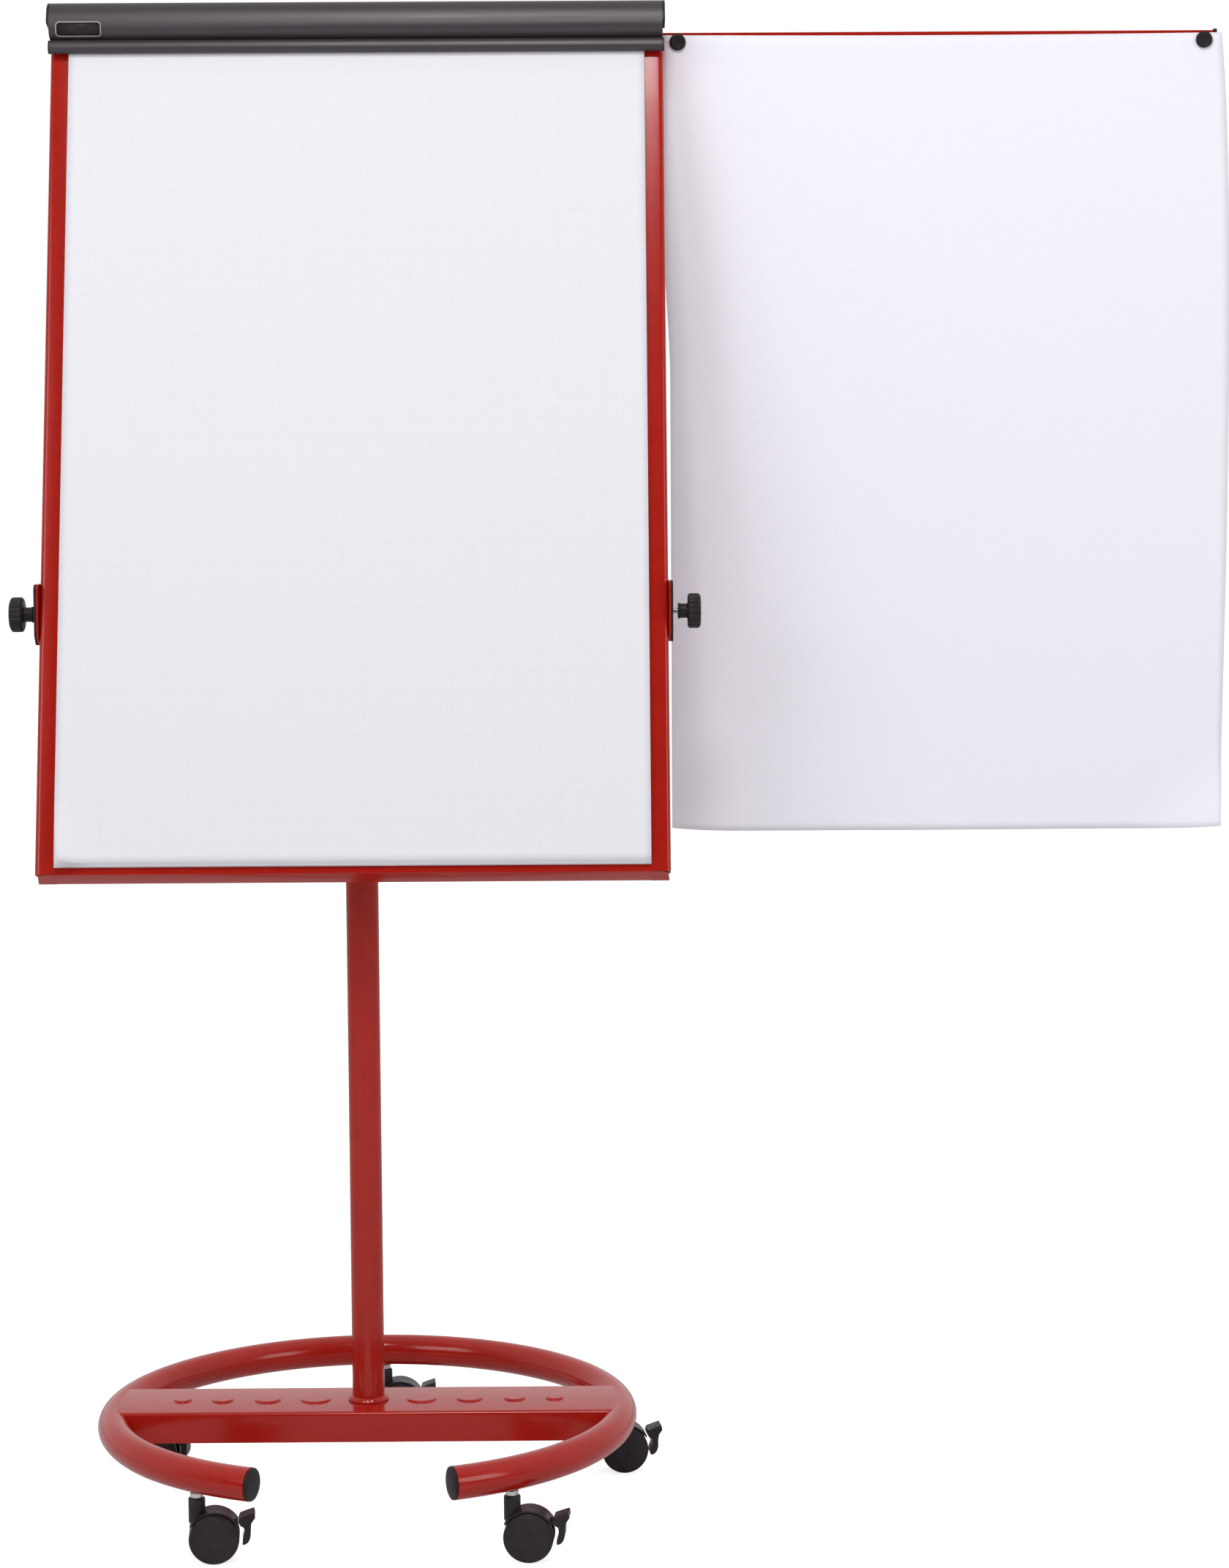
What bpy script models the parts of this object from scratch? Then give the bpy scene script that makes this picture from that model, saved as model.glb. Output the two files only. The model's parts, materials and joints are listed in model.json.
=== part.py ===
"""Mobile flipchart easel: ring base on casters, mast, tilting board, clamp bar and side arms.

Metres, +Z up. The board faces -Y and X runs to its right. The origin is on the floor under the
middle of the whole object.
"""

from math import cos, pi, radians, sin, tan

import bmesh
import bpy
from mathutils import Matrix, Vector

GAP = 0.0003
CUT_MARGIN = 0.010  # how far a cutter runs past the piece it cuts
OVERLAP = 0.001  # how far two shapes sink into each other before they are joined
SHARP_ANGLE = radians(35.0)

# Base ring, open at the front
RING_RADIUS = 0.3025
RING_HEIGHT = 0.099
RING_HALF_OPENING = radians(22.0)
RING_SPAN = (RING_HALF_OPENING - pi / 2, 3 * pi / 2 - RING_HALF_OPENING)
RING_STEPS = 36
TUBE_RADIUS = 0.019
TUBE_WALL = 0.002
TUBE_SIDES = 14
PLUG_CLEARANCE = 0.0016
PLUG_DEPTH = 0.012
PLUG_FLANGE = 0.0020
PLUG_DOME = 0.0048
PLUG_LEAD = 0.002
PLUG_CROWN = ((0.92, 0.73), (0.55, 0.94))  # shares of the flange and of the dome

# Pressed channel across the ring
CHANNEL_DEPTH = 0.112
CHANNEL_TOP = 0.1175
CHANNEL_BOTTOM = 0.0810
CHANNEL_WALL = 0.003
CHANNEL_REACH = 0.2955
DISC_PLACES = (0.0635, 0.1210, 0.1750, 0.2228)
DISC_RADII = (0.0185, 0.0161, 0.0134, 0.0110)
DISC_RISE = 0.0020
DISC_STEP = 0.0005
DISC_BEVEL = 0.0015
CHANNEL_BEND = 0.004

# Mast and yoke
MAST_RADIUS = 0.0192
MAST_WALL = 0.002
WELD_RADIUS = 0.0225
WELD_RISE = 0.006
WELD_LIP = 0.0015
WELD_TOE = 0.0010
MAST_BELOW_YOKE_TOP = 0.004
YOKE_THICKNESS = 0.003
YOKE_HEIGHT = 0.070
EAR_THICKNESS = 0.0020
EAR_REACH = 0.020
EAR_CLEARANCE = 0.0005
EAR_CUT = 0.010
PLATE_THICKNESS = 0.0028
PLATE_REACH = 0.030

# Tilt axis and board
AXIS_HEIGHT = 1.063
AXIS_FORWARD = 0.062
BOARD_LEAN = radians(13.93)
BOARD_HALF_WIDTH = 0.3624
BOARD_DEPTH = 0.025
AXIS_DEPTH = BOARD_DEPTH / 2
AXIS_UP_BOARD = 0.3097
BOARD_LENGTH = 1.030
RAIL_WIDTH = 0.0225
RAIL_WALL = 0.0016
RAIL_ROUND = 0.0055
SLOT_LOW = 0.040
SLOT_HIGH = 0.400
SLOT_WIDTH = 0.0080
NUT_HALF_DEPTH = 0.0075
NUT_HALF_LENGTH = 0.016
PANEL_THICKNESS = 0.004
TOP_RAIL_HEIGHT = 0.030
BOTTOM_EDGE = 0.0045
BEVEL_DROP = 0.0080
BEVEL_HALF_WIDTH = 0.3610
BEVEL_TONGUE = 0.004

# Knobs and their screws
SCREW_RADIUS = 0.0030
SCREW_HOLE_RADIUS = 0.0034
SCREW_REACH = 0.012
KNOB_RADIUS = 0.0202
KNOB_HEAD = 0.0154
NECK_RADIUS = 0.0084
NECK_LENGTH = 0.0113
SCREW_IN_KNOB = 0.0075
BORE_SPARE = 0.0005
KNOB_BACK_EDGE = (0.0012, 0.0015)
KNOB_FRONT_EDGE = (0.0030, 0.0030)
KNOB_FACE_DISH = 0.0006
KNOB_BACK_OFF = {"left": 0.0033, "right": 0.0057}

# Clamp bar
CLAMP_HALF_WIDTH = 0.3646
CLAMP_CAP_THICKNESS = 0.0030
CLAMP_AXIS_OUT = 0.0040
CLAMP_AXIS_UP = 1.0352
CLAMP_ROD_RADIUS = 0.0025
CLAMP_CAP_LOW = 1.0115
PIN_RADIUS = 0.0030
PIN_CLEARANCE = 0.0008
PIN_LENGTH = 0.0054
PIN_HEIGHT = 0.9925
PIN_SPACING = 0.560

# Paper
PAPER_WIDTH = 0.680
PAD_LENGTH = 0.990
PAD_BOTTOM = 0.0130
PAD_THICKNESS = 0.0042
SHEET_LENGTH = 0.957
SHEET_TOP = 1.7440
SHEET_LEFT = 0.3587
SHEET_THICKNESS = 0.0010

# Side arms
ARM_PIN_OUT = 0.350
ARM_PIN_BACK = 0.134
ARM_REACH = 0.6720
ARM_HEIGHT = 0.025
ARM_THICKNESS = 0.005
ARM_CAP_LENGTH = 0.0045
ARM_CAP_RISE = 0.0018
ARM_TOP = {"right": 1.7470, "left": 1.7130}
KNUCKLE_RADIUS = 0.0060
ARM_PIN_RADIUS = 0.0025
LUG_HEIGHT = 0.0100
ARM_START = 0.003
PIN_SHORT = 0.002
MAGNET_RADIUS = 0.0098
MAGNET_THICKNESS = 0.0050
MAGNET_RIM = 0.0010
MAGNET_HEIGHT = 1.7355
MAGNET_PLACES = {"inner": 0.3806, "outer": 1.0108}

# Casters
CASTER_ANGLES = {
    "front_left": -126.0,
    "front_right": -54.0,
    "right": 18.0,
    "back": 90.0,
    "left": 162.0,
}
CASTER_YAWS = {"front_left": 5.0, "front_right": -4.0, "right": 7.0, "back": 3.0, "left": -6.0}
WHEEL_RADIUS = 0.0285
WHEEL_INNER_FACE = 0.0036
WHEEL_OUTER_FACE = 0.01823
TRAIL = 0.019
HOOD_RADIUS = 0.0315
HOOD_SPAN = (31.0, 150.0)  # degrees round the wheels
WEB_HALF_FOOT = 0.007
WEB_BELOW_AXLE = 0.008
HOOD_CLEARANCE = 0.0010
HOOD_HALF_WIDTH = 0.0150
WEB_HALF_WIDTH = 0.0030
CASTER_NECK_RADIUS = 0.0095
CASTER_NECK_TOP = 0.0742
AXLE_RADIUS = 0.0030
STEM_RADIUS = 0.0040
COLLAR_RADIUS = 0.0073
LEVER_HALF_WIDTH = 0.0120
LEVER_PIVOT = (0.0500, 0.0480)
NECK_FOOT = 0.046
STEM_FOOT = 0.0622
STEM_IN_RING = 0.006
WHEEL_EDGE = 0.0022
HUB_SKIN = 0.0015
AXLE_SHORT = 0.0020

RED_PAINT = ("red powder coat", (0.36, 0.018, 0.010), 0.22, 0.0)
ANTHRACITE = ("anthracite bar", (0.105, 0.090, 0.098), 0.38, 0.0)
BLACK_PLASTIC = ("black plastic", (0.022, 0.020, 0.022), 0.45, 0.0)
CASTER_PLASTIC = ("caster plastic", (0.028, 0.021, 0.026), 0.42, 0.0)
BRIGHT_STEEL = ("bright steel", (0.62, 0.62, 0.60), 0.25, 1.0)
WHITE_PANEL = ("white panel", (0.80, 0.80, 0.82), 0.30, 0.0)
PAPER = ("paper", (0.84, 0.82, 0.88), 0.80, 0.0)


def clear_scene():
    for item in list(bpy.data.objects):
        bpy.data.objects.remove(item, do_unlink=True)


def material(spec):
    name, colour, roughness, metallic = spec
    found = bpy.data.materials.get(name)
    if found is not None:
        return found
    made = bpy.data.materials.new(name)
    made.use_nodes = True
    shader = made.node_tree.nodes["Principled BSDF"]
    shader.inputs["Base Color"].default_value = (*colour, 1.0)
    shader.inputs["Roughness"].default_value = roughness
    shader.inputs["Metallic"].default_value = metallic
    return made


def empty(name, location=(0.0, 0.0, 0.0), rotation=(0.0, 0.0, 0.0), parent=None):
    made = bpy.data.objects.new(name, None)
    made.location = location
    made.rotation_euler = rotation
    made.parent = parent
    bpy.context.collection.objects.link(made)
    return made


def place(name, mesh, spec, parent, location=(0.0, 0.0, 0.0), rotation=(0.0, 0.0, 0.0)):
    made = bpy.data.objects.new(name, mesh)
    made.location = location
    made.rotation_euler = rotation
    made.parent = parent
    bpy.context.collection.objects.link(made)
    if not mesh.materials:
        mesh.materials.append(material(spec))
    mesh.shade_smooth()
    mesh.set_sharp_from_angle(angle=SHARP_ANGLE)
    return made


def finish_mesh(shape, name):
    bmesh.ops.recalc_face_normals(shape, faces=shape.faces)
    mesh = bpy.data.meshes.new(name)
    shape.to_mesh(mesh)
    shape.free()
    return mesh


def prism(name, outline, low, high):
    """Extrude an (x, z) outline along Y from low to high."""
    shape = bmesh.new()
    near = [shape.verts.new((a, low, b)) for a, b in outline]
    far = [shape.verts.new((a, high, b)) for a, b in outline]
    shape.faces.new(near)
    shape.faces.new(far[::-1])
    for i in range(len(outline)):
        j = (i + 1) % len(outline)
        shape.faces.new((near[i], far[i], far[j], near[j]))
    return finish_mesh(shape, name)


def across(name, outline, low, high):
    """Extrude a (y, z) outline along X from low to high."""
    shape = bmesh.new()
    near = [shape.verts.new((low, y, z)) for y, z in outline]
    far = [shape.verts.new((high, y, z)) for y, z in outline]
    shape.faces.new(near)
    shape.faces.new(far[::-1])
    for i in range(len(outline)):
        j = (i + 1) % len(outline)
        shape.faces.new((near[i], far[i], far[j], near[j]))
    return finish_mesh(shape, name)


def upright(name, outline, low, high):
    """Extrude an (x, y) outline along Z from low to high."""
    shape = bmesh.new()
    near = [shape.verts.new((x, y, low)) for x, y in outline]
    far = [shape.verts.new((x, y, high)) for x, y in outline]
    shape.faces.new(near)
    shape.faces.new(far[::-1])
    for i in range(len(outline)):
        j = (i + 1) % len(outline)
        shape.faces.new((near[i], far[i], far[j], near[j]))
    return finish_mesh(shape, name)


def box(name, low, high):
    outline = [(low[0], low[1]), (high[0], low[1]), (high[0], high[1]), (low[0], high[1])]
    return upright(name, outline, low[2], high[2])


def turned(name, profile, sides):
    """Turn a closed (radius, z) profile about Z; a radius of zero becomes one point on the axis."""
    shape = bmesh.new()
    rings = []
    for radius, z in profile:
        if radius == 0.0:
            rings.append([shape.verts.new((0.0, 0.0, z))])
            continue
        angles = [2.0 * pi * i / sides for i in range(sides)]
        rings.append([shape.verts.new((radius * cos(a), radius * sin(a), z)) for a in angles])
    for ring, following in zip(rings, rings[1:] + rings[:1]):
        skin(shape, ring, following, sides)
    return finish_mesh(shape, name)


def skin(shape, ring, following, sides):
    if len(ring) == 1 and len(following) == 1:
        return
    for i in range(sides):
        j = (i + 1) % sides
        if len(ring) == 1:
            shape.faces.new((ring[0], following[j], following[i]))
        elif len(following) == 1:
            shape.faces.new((ring[i], ring[j], following[0]))
        else:
            shape.faces.new((ring[i], ring[j], following[j], following[i]))


def rod_profile(radius, low, high):
    return [(0.0, low), (radius, low), (radius, high), (0.0, high)]


def along_x(mesh, x=0.0, y=0.0, z=0.0):
    """Lay a mesh turned about Z along +X and shift it."""
    mesh.transform(Matrix.Translation((x, y, z)) @ Matrix.Rotation(pi / 2, 4, "Y"))
    return mesh


def along_y(mesh, x=0.0, y=0.0, z=0.0):
    """Lay a mesh turned about Z along +Y and shift it."""
    mesh.transform(Matrix.Translation((x, y, z)) @ Matrix.Rotation(-pi / 2, 4, "X"))
    return mesh


def combine(base, other, operation):
    """Union or difference of two meshes, as a new mesh."""
    holder = bpy.data.objects.new("holder", base)
    tool = bpy.data.objects.new("tool", other)
    for item in (holder, tool):
        bpy.context.collection.objects.link(item)
    cut = holder.modifiers.new("combine", "BOOLEAN")
    cut.operation = operation
    cut.object = tool
    graph = bpy.context.evaluated_depsgraph_get()
    result = bpy.data.meshes.new_from_object(holder.evaluated_get(graph))
    for item in (holder, tool):
        bpy.data.objects.remove(item, do_unlink=True)
    return result


def joined(meshes):
    """Put separate meshes that don't touch into one, for use as a single cutter."""
    shape = bmesh.new()
    for mesh in meshes:
        shape.from_mesh(mesh)
    return finish_mesh(shape, "joined")


def arc(centre, radius, first, last, steps):
    angles = [radians(first + (last - first) * i / steps) for i in range(steps + 1)]
    return [(centre[0] + radius * cos(a), centre[1] + radius * sin(a)) for a in angles]


def mirrored(outline, side):
    return [(side * x, y) for x, y in outline]


# Base


def swept_tube(radius, inner, first, last, steps):
    """A tube along the ring from one angle to another, hollow if inner isn't zero."""
    shape = bmesh.new()
    layers = [radius, inner] if inner else [radius]
    rows = []
    for i in range(steps + 1):
        a = first + (last - first) * i / steps
        rows.append([tube_loop(shape, layer, a) for layer in layers])
    for row, following in zip(rows, rows[1:]):
        for loop, next_loop in zip(row, following):
            skin(shape, loop, next_loop, TUBE_SIDES)
    for row in (rows[0], rows[-1]):
        close_tube_end(shape, row)
    return finish_mesh(shape, "tube")


def tube_loop(shape, radius, a):
    verts = []
    for i in range(TUBE_SIDES):
        b = 2.0 * pi * (i + 0.5) / TUBE_SIDES
        out = RING_RADIUS + radius * cos(b)
        verts.append(shape.verts.new((out * cos(a), out * sin(a), RING_HEIGHT + radius * sin(b))))
    return verts


def close_tube_end(shape, row):
    if len(row) == 1:
        shape.faces.new(row[0])
    else:
        skin(shape, row[0], row[1], TUBE_SIDES)


def caster_place(angle):
    a = radians(angle)
    return RING_RADIUS * cos(a), RING_RADIUS * sin(a)


def build_ring(parent):
    first, last = RING_SPAN
    tube = swept_tube(TUBE_RADIUS, TUBE_RADIUS - TUBE_WALL, first, last, RING_STEPS)
    drills = []
    for angle in CASTER_ANGLES.values():
        x, y = caster_place(angle)
        drill = turned("drill", rod_profile(STEM_RADIUS + GAP, CASTER_NECK_TOP, RING_HEIGHT), 12)
        drill.transform(Matrix.Translation((x, y, 0.0)))
        drills.append(drill)
    place("base_ring", combine(tube, joined(drills), "DIFFERENCE"), RED_PAINT, parent)
    for side, end in (("left", last), ("right", first)):
        build_ring_plug(side, end, parent)


def build_ring_plug(side, end, parent):
    inner = TUBE_RADIUS - TUBE_WALL - PLUG_CLEARANCE
    flange = TUBE_RADIUS - GAP
    profile = [
        (0.0, -PLUG_DEPTH),
        (inner - PLUG_LEAD / 2, -PLUG_DEPTH),
        (inner, PLUG_LEAD - PLUG_DEPTH),
        (inner, GAP),
        (flange, GAP),
        (flange, PLUG_FLANGE),
    ]
    profile += [(flange * out, PLUG_DOME * rise) for out, rise in PLUG_CROWN]
    profile.append((0.0, PLUG_DOME))
    plug = turned("ring_plug", profile, 16)
    direction = 1.0 if side == "left" else -1.0
    outward = Vector((-sin(end), cos(end), 0.0)) * direction
    turn = outward.to_track_quat("Z", "Y").to_euler()
    x = RING_RADIUS * cos(end)
    y = RING_RADIUS * sin(end)
    place(f"ring_plug_{side}", plug, BLACK_PLASTIC, parent, (x, y, RING_HEIGHT), turn)


def build_channel(parent):
    half = CHANNEL_DEPTH / 2
    inner = half - CHANNEL_WALL
    ceiling = CHANNEL_TOP - CHANNEL_WALL
    bend = CHANNEL_BEND
    outline = [(-half, CHANNEL_BOTTOM)]
    outline += arc((-half + bend, CHANNEL_TOP - bend), bend, 180, 90, 4)
    outline += arc((half - bend, CHANNEL_TOP - bend), bend, 90, 0, 4)
    outline += [
        (half, CHANNEL_BOTTOM),
        (inner, CHANNEL_BOTTOM),
        (inner, ceiling),
        (-inner, ceiling),
        (-inner, CHANNEL_BOTTOM),
    ]
    body = across("channel", outline, -CHANNEL_REACH, CHANNEL_REACH)
    sunk = CHANNEL_TOP - OVERLAP
    for offset, radius in zip(DISC_PLACES, DISC_RADII):
        for x in (-offset, offset):
            top = CHANNEL_TOP + DISC_RISE
            step = CHANNEL_TOP + DISC_STEP
            profile = [(0.0, sunk), (radius, sunk), (radius, step), (radius - DISC_BEVEL, top)]
            disc = turned("disc", profile + [(0.0, top)], 16)
            disc.transform(Matrix.Translation((x, 0.0, 0.0)))
            body = combine(body, disc, "UNION")
    cope = swept_tube(TUBE_RADIUS + 2 * GAP, 0.0, *RING_SPAN, RING_STEPS)
    place("base_channel", combine(body, cope, "DIFFERENCE"), RED_PAINT, parent)


def build_mast(parent):
    foot = CHANNEL_TOP + GAP
    top = AXIS_HEIGHT + YOKE_HEIGHT / 2 - MAST_BELOW_YOKE_TOP
    inner = MAST_RADIUS - MAST_WALL
    profile = [
        (WELD_RADIUS, foot),
        (WELD_RADIUS, foot + WELD_LIP),
        (MAST_RADIUS + WELD_TOE, foot + WELD_RISE),
        (MAST_RADIUS, foot + WELD_RISE + WELD_LIP),
        (MAST_RADIUS, top),
        (inner, top),
        (inner, foot),
    ]
    place("mast", turned("mast", profile, 24), RED_PAINT, parent)


# Yoke, knobs and slide nuts


def ear_outline(front, back):
    """Side outline (y, z) of a yoke ear, with its front corners cut."""
    half = YOKE_HEIGHT / 2
    cut = EAR_CUT
    return [
        (back, -half),
        (front + cut, -half),
        (front, -half + cut),
        (front, half - cut / 2),
        (front + cut / 2, half),
        (back, half),
    ]


def axis_hole(low, high, radius=SCREW_HOLE_RADIUS):
    return along_x(turned("hole", rod_profile(radius, low, high), 16))


def build_yoke(parent):
    ear_inside = BOARD_HALF_WIDTH + EAR_CLEARANCE
    outside = ear_inside + EAR_THICKNESS
    band_back = AXIS_FORWARD - MAST_RADIUS - GAP
    band_front = band_back - YOKE_THICKNESS
    half = YOKE_HEIGHT / 2
    body = box("yoke", (-outside, band_front, -half), (outside, band_back, half))
    for side in (-1.0, 1.0):
        low, high = sorted((side * ear_inside, side * outside))
        ear = across("ear", ear_outline(-EAR_REACH, band_back - OVERLAP), low, high)
        body = combine(body, ear, "UNION")
    holes = []
    for side in (-1.0, 1.0):
        low, high = sorted((side * (ear_inside - CUT_MARGIN), side * (outside + CUT_MARGIN)))
        holes.append(axis_hole(low, high))
    holes = joined(holes)
    place("yoke", combine(body, holes, "DIFFERENCE"), RED_PAINT, parent)
    for name, side in (("left", -1.0), ("right", 1.0)):
        low, high = sorted((side * (outside + GAP), side * (outside + PLATE_THICKNESS)))
        plate = across("plate", ear_outline(-EAR_REACH, PLATE_REACH), low, high)
        plate = combine(plate, axis_hole(low - CUT_MARGIN, high + CUT_MARGIN), "DIFFERENCE")
        place(f"yoke_plate_{name}", plate, BLACK_PLASTIC, parent)
        build_knob(name, side, outside + PLATE_THICKNESS, parent)


def build_knob(name, side, plate_face, parent):
    start = plate_face + KNOB_BACK_OFF[name]
    head = NECK_LENGTH
    end = head + KNOB_HEAD
    grip = KNOB_RADIUS
    profile = [
        (0.0, 0.0),
        (NECK_RADIUS, 0.0),
        (NECK_RADIUS, head),
        (grip - KNOB_BACK_EDGE[0], head),
        (grip, head + KNOB_BACK_EDGE[1]),
        (grip, end - KNOB_FRONT_EDGE[1]),
        (grip - KNOB_FRONT_EDGE[0], end - KNOB_FACE_DISH),
        (0.0, end),
    ]
    turn = (0.0, side * pi / 2, 0.0)
    blind_end = SCREW_IN_KNOB + BORE_SPARE
    blind = turned("blind", rod_profile(SCREW_RADIUS + GAP, -CUT_MARGIN, blind_end), 12)
    knob = combine(turned("knob", profile, 24), blind, "DIFFERENCE")
    place(f"knob_{name}", knob, BLACK_PLASTIC, parent, (side * start, 0.0, 0.0), turn)
    inner_end = BOARD_HALF_WIDTH - SCREW_REACH - start
    screw = turned("screw", rod_profile(SCREW_RADIUS, inner_end, SCREW_IN_KNOB), 12)
    place(f"knob_screw_{name}", screw, BRIGHT_STEEL, parent, (side * start, 0.0, 0.0), turn)


def build_slide_nuts(board):
    half_length = NUT_HALF_LENGTH
    for name, side in (("left", -1.0), ("right", 1.0)):
        outer = BOARD_HALF_WIDTH - RAIL_WALL - GAP
        inner = BOARD_HALF_WIDTH - RAIL_WIDTH + RAIL_WALL + GAP
        low, high = sorted((side * inner, side * outer))
        nut = box("nut", (low, -NUT_HALF_DEPTH, -half_length), (high, NUT_HALF_DEPTH, half_length))
        nut = combine(nut, axis_hole(low - CUT_MARGIN, high + CUT_MARGIN), "DIFFERENCE")
        place(f"slide_nut_{name}", nut, BRIGHT_STEEL, board)


# Board: its pieces are drawn about the tilt axis, x across, y into the board, z up the board


def up(height):
    """Height up the board, measured from its bottom corner, as z about the tilt axis."""
    return height - AXIS_UP_BOARD


def deep(depth):
    """Depth behind the board's front face, as y about the tilt axis."""
    return depth - AXIS_DEPTH


def rail_outline(shrink):
    """Cross-section of a right-hand side rail, x across and y deep, shrunk by a wall thickness."""
    outer = BOARD_HALF_WIDTH - shrink
    inner = BOARD_HALF_WIDTH - RAIL_WIDTH + shrink
    front = deep(0.0) + shrink
    back = deep(BOARD_DEPTH) - shrink
    bend = RAIL_ROUND - shrink
    outline = [(inner, front)]
    outline += arc((outer - bend, front + bend), bend, -90, 0, 5)
    outline += arc((outer - bend / 2, back - bend / 2), bend / 2, 0, 90, 2)
    outline.append((inner, back))
    return outline


def build_side_rails(board):
    low = up(BOTTOM_EDGE + GAP)
    high = up(BOARD_LENGTH)
    for name, side in (("left", -1.0), ("right", 1.0)):
        rail = upright("rail", mirrored(rail_outline(0.0), side), low, high)
        inside = mirrored(rail_outline(RAIL_WALL), side)
        hollow = upright("hollow", inside, low - CUT_MARGIN, high + CUT_MARGIN)
        rail = combine(rail, hollow, "DIFFERENCE")
        ends = (BOARD_HALF_WIDTH - CUT_MARGIN, BOARD_HALF_WIDTH + CUT_MARGIN)
        first, last = sorted(side * end for end in ends)
        half_slot = SLOT_WIDTH / 2
        slot = box("slot", (first, -half_slot, up(SLOT_LOW)), (last, half_slot, up(SLOT_HIGH)))
        place(f"board_rail_{name}", combine(rail, slot, "DIFFERENCE"), RED_PAINT, board)


def build_cross_rails(board):
    inner = BOARD_HALF_WIDTH - RAIL_WIDTH - GAP
    wall = RAIL_WALL
    drop = BOTTOM_EDGE - BEVEL_DROP
    upper = RAIL_WIDTH
    back = BOARD_DEPTH
    face = [(0.0, upper), (0.0, BOTTOM_EDGE), (back - wall, drop), (back, drop + wall), (back, upper)]
    face += [(back - wall, upper), (back - wall, drop + 2 * wall), (wall, BOTTOM_EDGE + wall), (wall, upper)]
    outline = [(deep(d), up(h)) for d, h in face]
    body = across("bottom_rail", outline, -inner, inner)
    strip = [(0.0, BOTTOM_EDGE), (back - wall, drop), (back, drop + wall), (BEVEL_TONGUE, BOTTOM_EDGE)]
    strip = [(deep(d), up(h)) for d, h in strip]
    tongue = across("tongue", strip, -BEVEL_HALF_WIDTH, BEVEL_HALF_WIDTH)
    place("board_rail_bottom", combine(body, tongue, "UNION"), RED_PAINT, board)
    build_top_rail(board, inner)


def build_top_rail(board, inner):
    low = BOARD_LENGTH - TOP_RAIL_HEIGHT
    body = box("top_rail", (-inner, deep(0.0), up(low)), (inner, deep(BOARD_DEPTH), up(BOARD_LENGTH)))
    wall = RAIL_WALL
    hollow = box(
        "hollow",
        (-inner - CUT_MARGIN, deep(wall), up(low + wall)),
        (inner + CUT_MARGIN, deep(BOARD_DEPTH - wall), up(BOARD_LENGTH - wall)),
    )
    body = combine(body, hollow, "DIFFERENCE")
    lug = [(deep(-out), up(height)) for out, height in LUG_OUTLINE]
    for x in LUG_PLACES:
        body = combine(body, across("lug", lug, x - LUG_HALF_WIDTH, x + LUG_HALF_WIDTH), "UNION")
    drill_reach = LUG_PLACES[-1] + LUG_HALF_WIDTH + CUT_MARGIN
    drill = turned("drill", rod_profile(CLAMP_ROD_RADIUS + GAP, -drill_reach, drill_reach), 12)
    drill = along_x(drill, 0.0, deep(-CLAMP_AXIS_OUT), up(CLAMP_AXIS_UP))
    place("board_rail_top", combine(body, drill, "DIFFERENCE"), RED_PAINT, board)


def build_panel(board):
    half = BOARD_HALF_WIDTH - RAIL_WIDTH - GAP
    low = (-half, deep(GAP), up(RAIL_WIDTH + GAP))
    high = (half, deep(PANEL_THICKNESS), up(BOARD_LENGTH - TOP_RAIL_HEIGHT - GAP))
    place("board_panel", box("panel", low, high), WHITE_PANEL, board)


# Clamp bar: outlines are (out of the board's face, height up the board)

HOOD_OUTER = [
    (-0.0010, 1.0385),
    (-0.0006, 1.0424),
    (0.0060, 1.0430),
    (0.0120, 1.0419),
    (0.0180, 1.0380),
    (0.0224, 1.0310),
    (0.0243, 1.0225),
    (0.0245, 1.0140),
    (0.0237, 1.0070),
    (0.0212, 1.0020),
    (0.0160, 0.9988),
    (0.0094, 0.9972),
    (0.0118, 0.9945),
    (0.0148, 0.9910),
    (0.0150, 0.9860),
    (0.0120, 0.9815),
    (0.0075, 0.9805),
]
HOOD_INNER = [
    (0.0066, 0.9830),
    (0.0066, 0.9985),
    (0.0120, 1.0020),
    (0.0180, 1.0042),
    (0.0209, 1.0085),
    (0.0217, 1.0150),
    (0.0214, 1.0220),
    (0.0196, 1.0298),
    (0.0158, 1.0356),
    (0.0108, 1.0390),
    (0.0055, 1.0402),
    (0.0008, 1.0400),
    (0.0008, 1.0385),
]


# Hinge lugs on the front of the top rail, inside the hood
LUG_PLACES = (-0.300, 0.0, 0.300)
LUG_HALF_WIDTH = 0.010
LUG_OUTLINE = [
    (-0.0005, 1.0200),
    (-0.0005, 1.0295),
    (0.0012, 1.0325),
    (0.0004, 1.0365),
    (0.0020, 1.0388),
    (0.0060, 1.0388),
    (0.0080, 1.0370),
    (0.0080, 1.0200),
]


def clamp_points(outline):
    """Place an (out, height) outline about the clamp's hinge axis, as (y, z)."""
    return [(CLAMP_AXIS_OUT - out, height - CLAMP_AXIS_UP) for out, height in outline]


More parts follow.
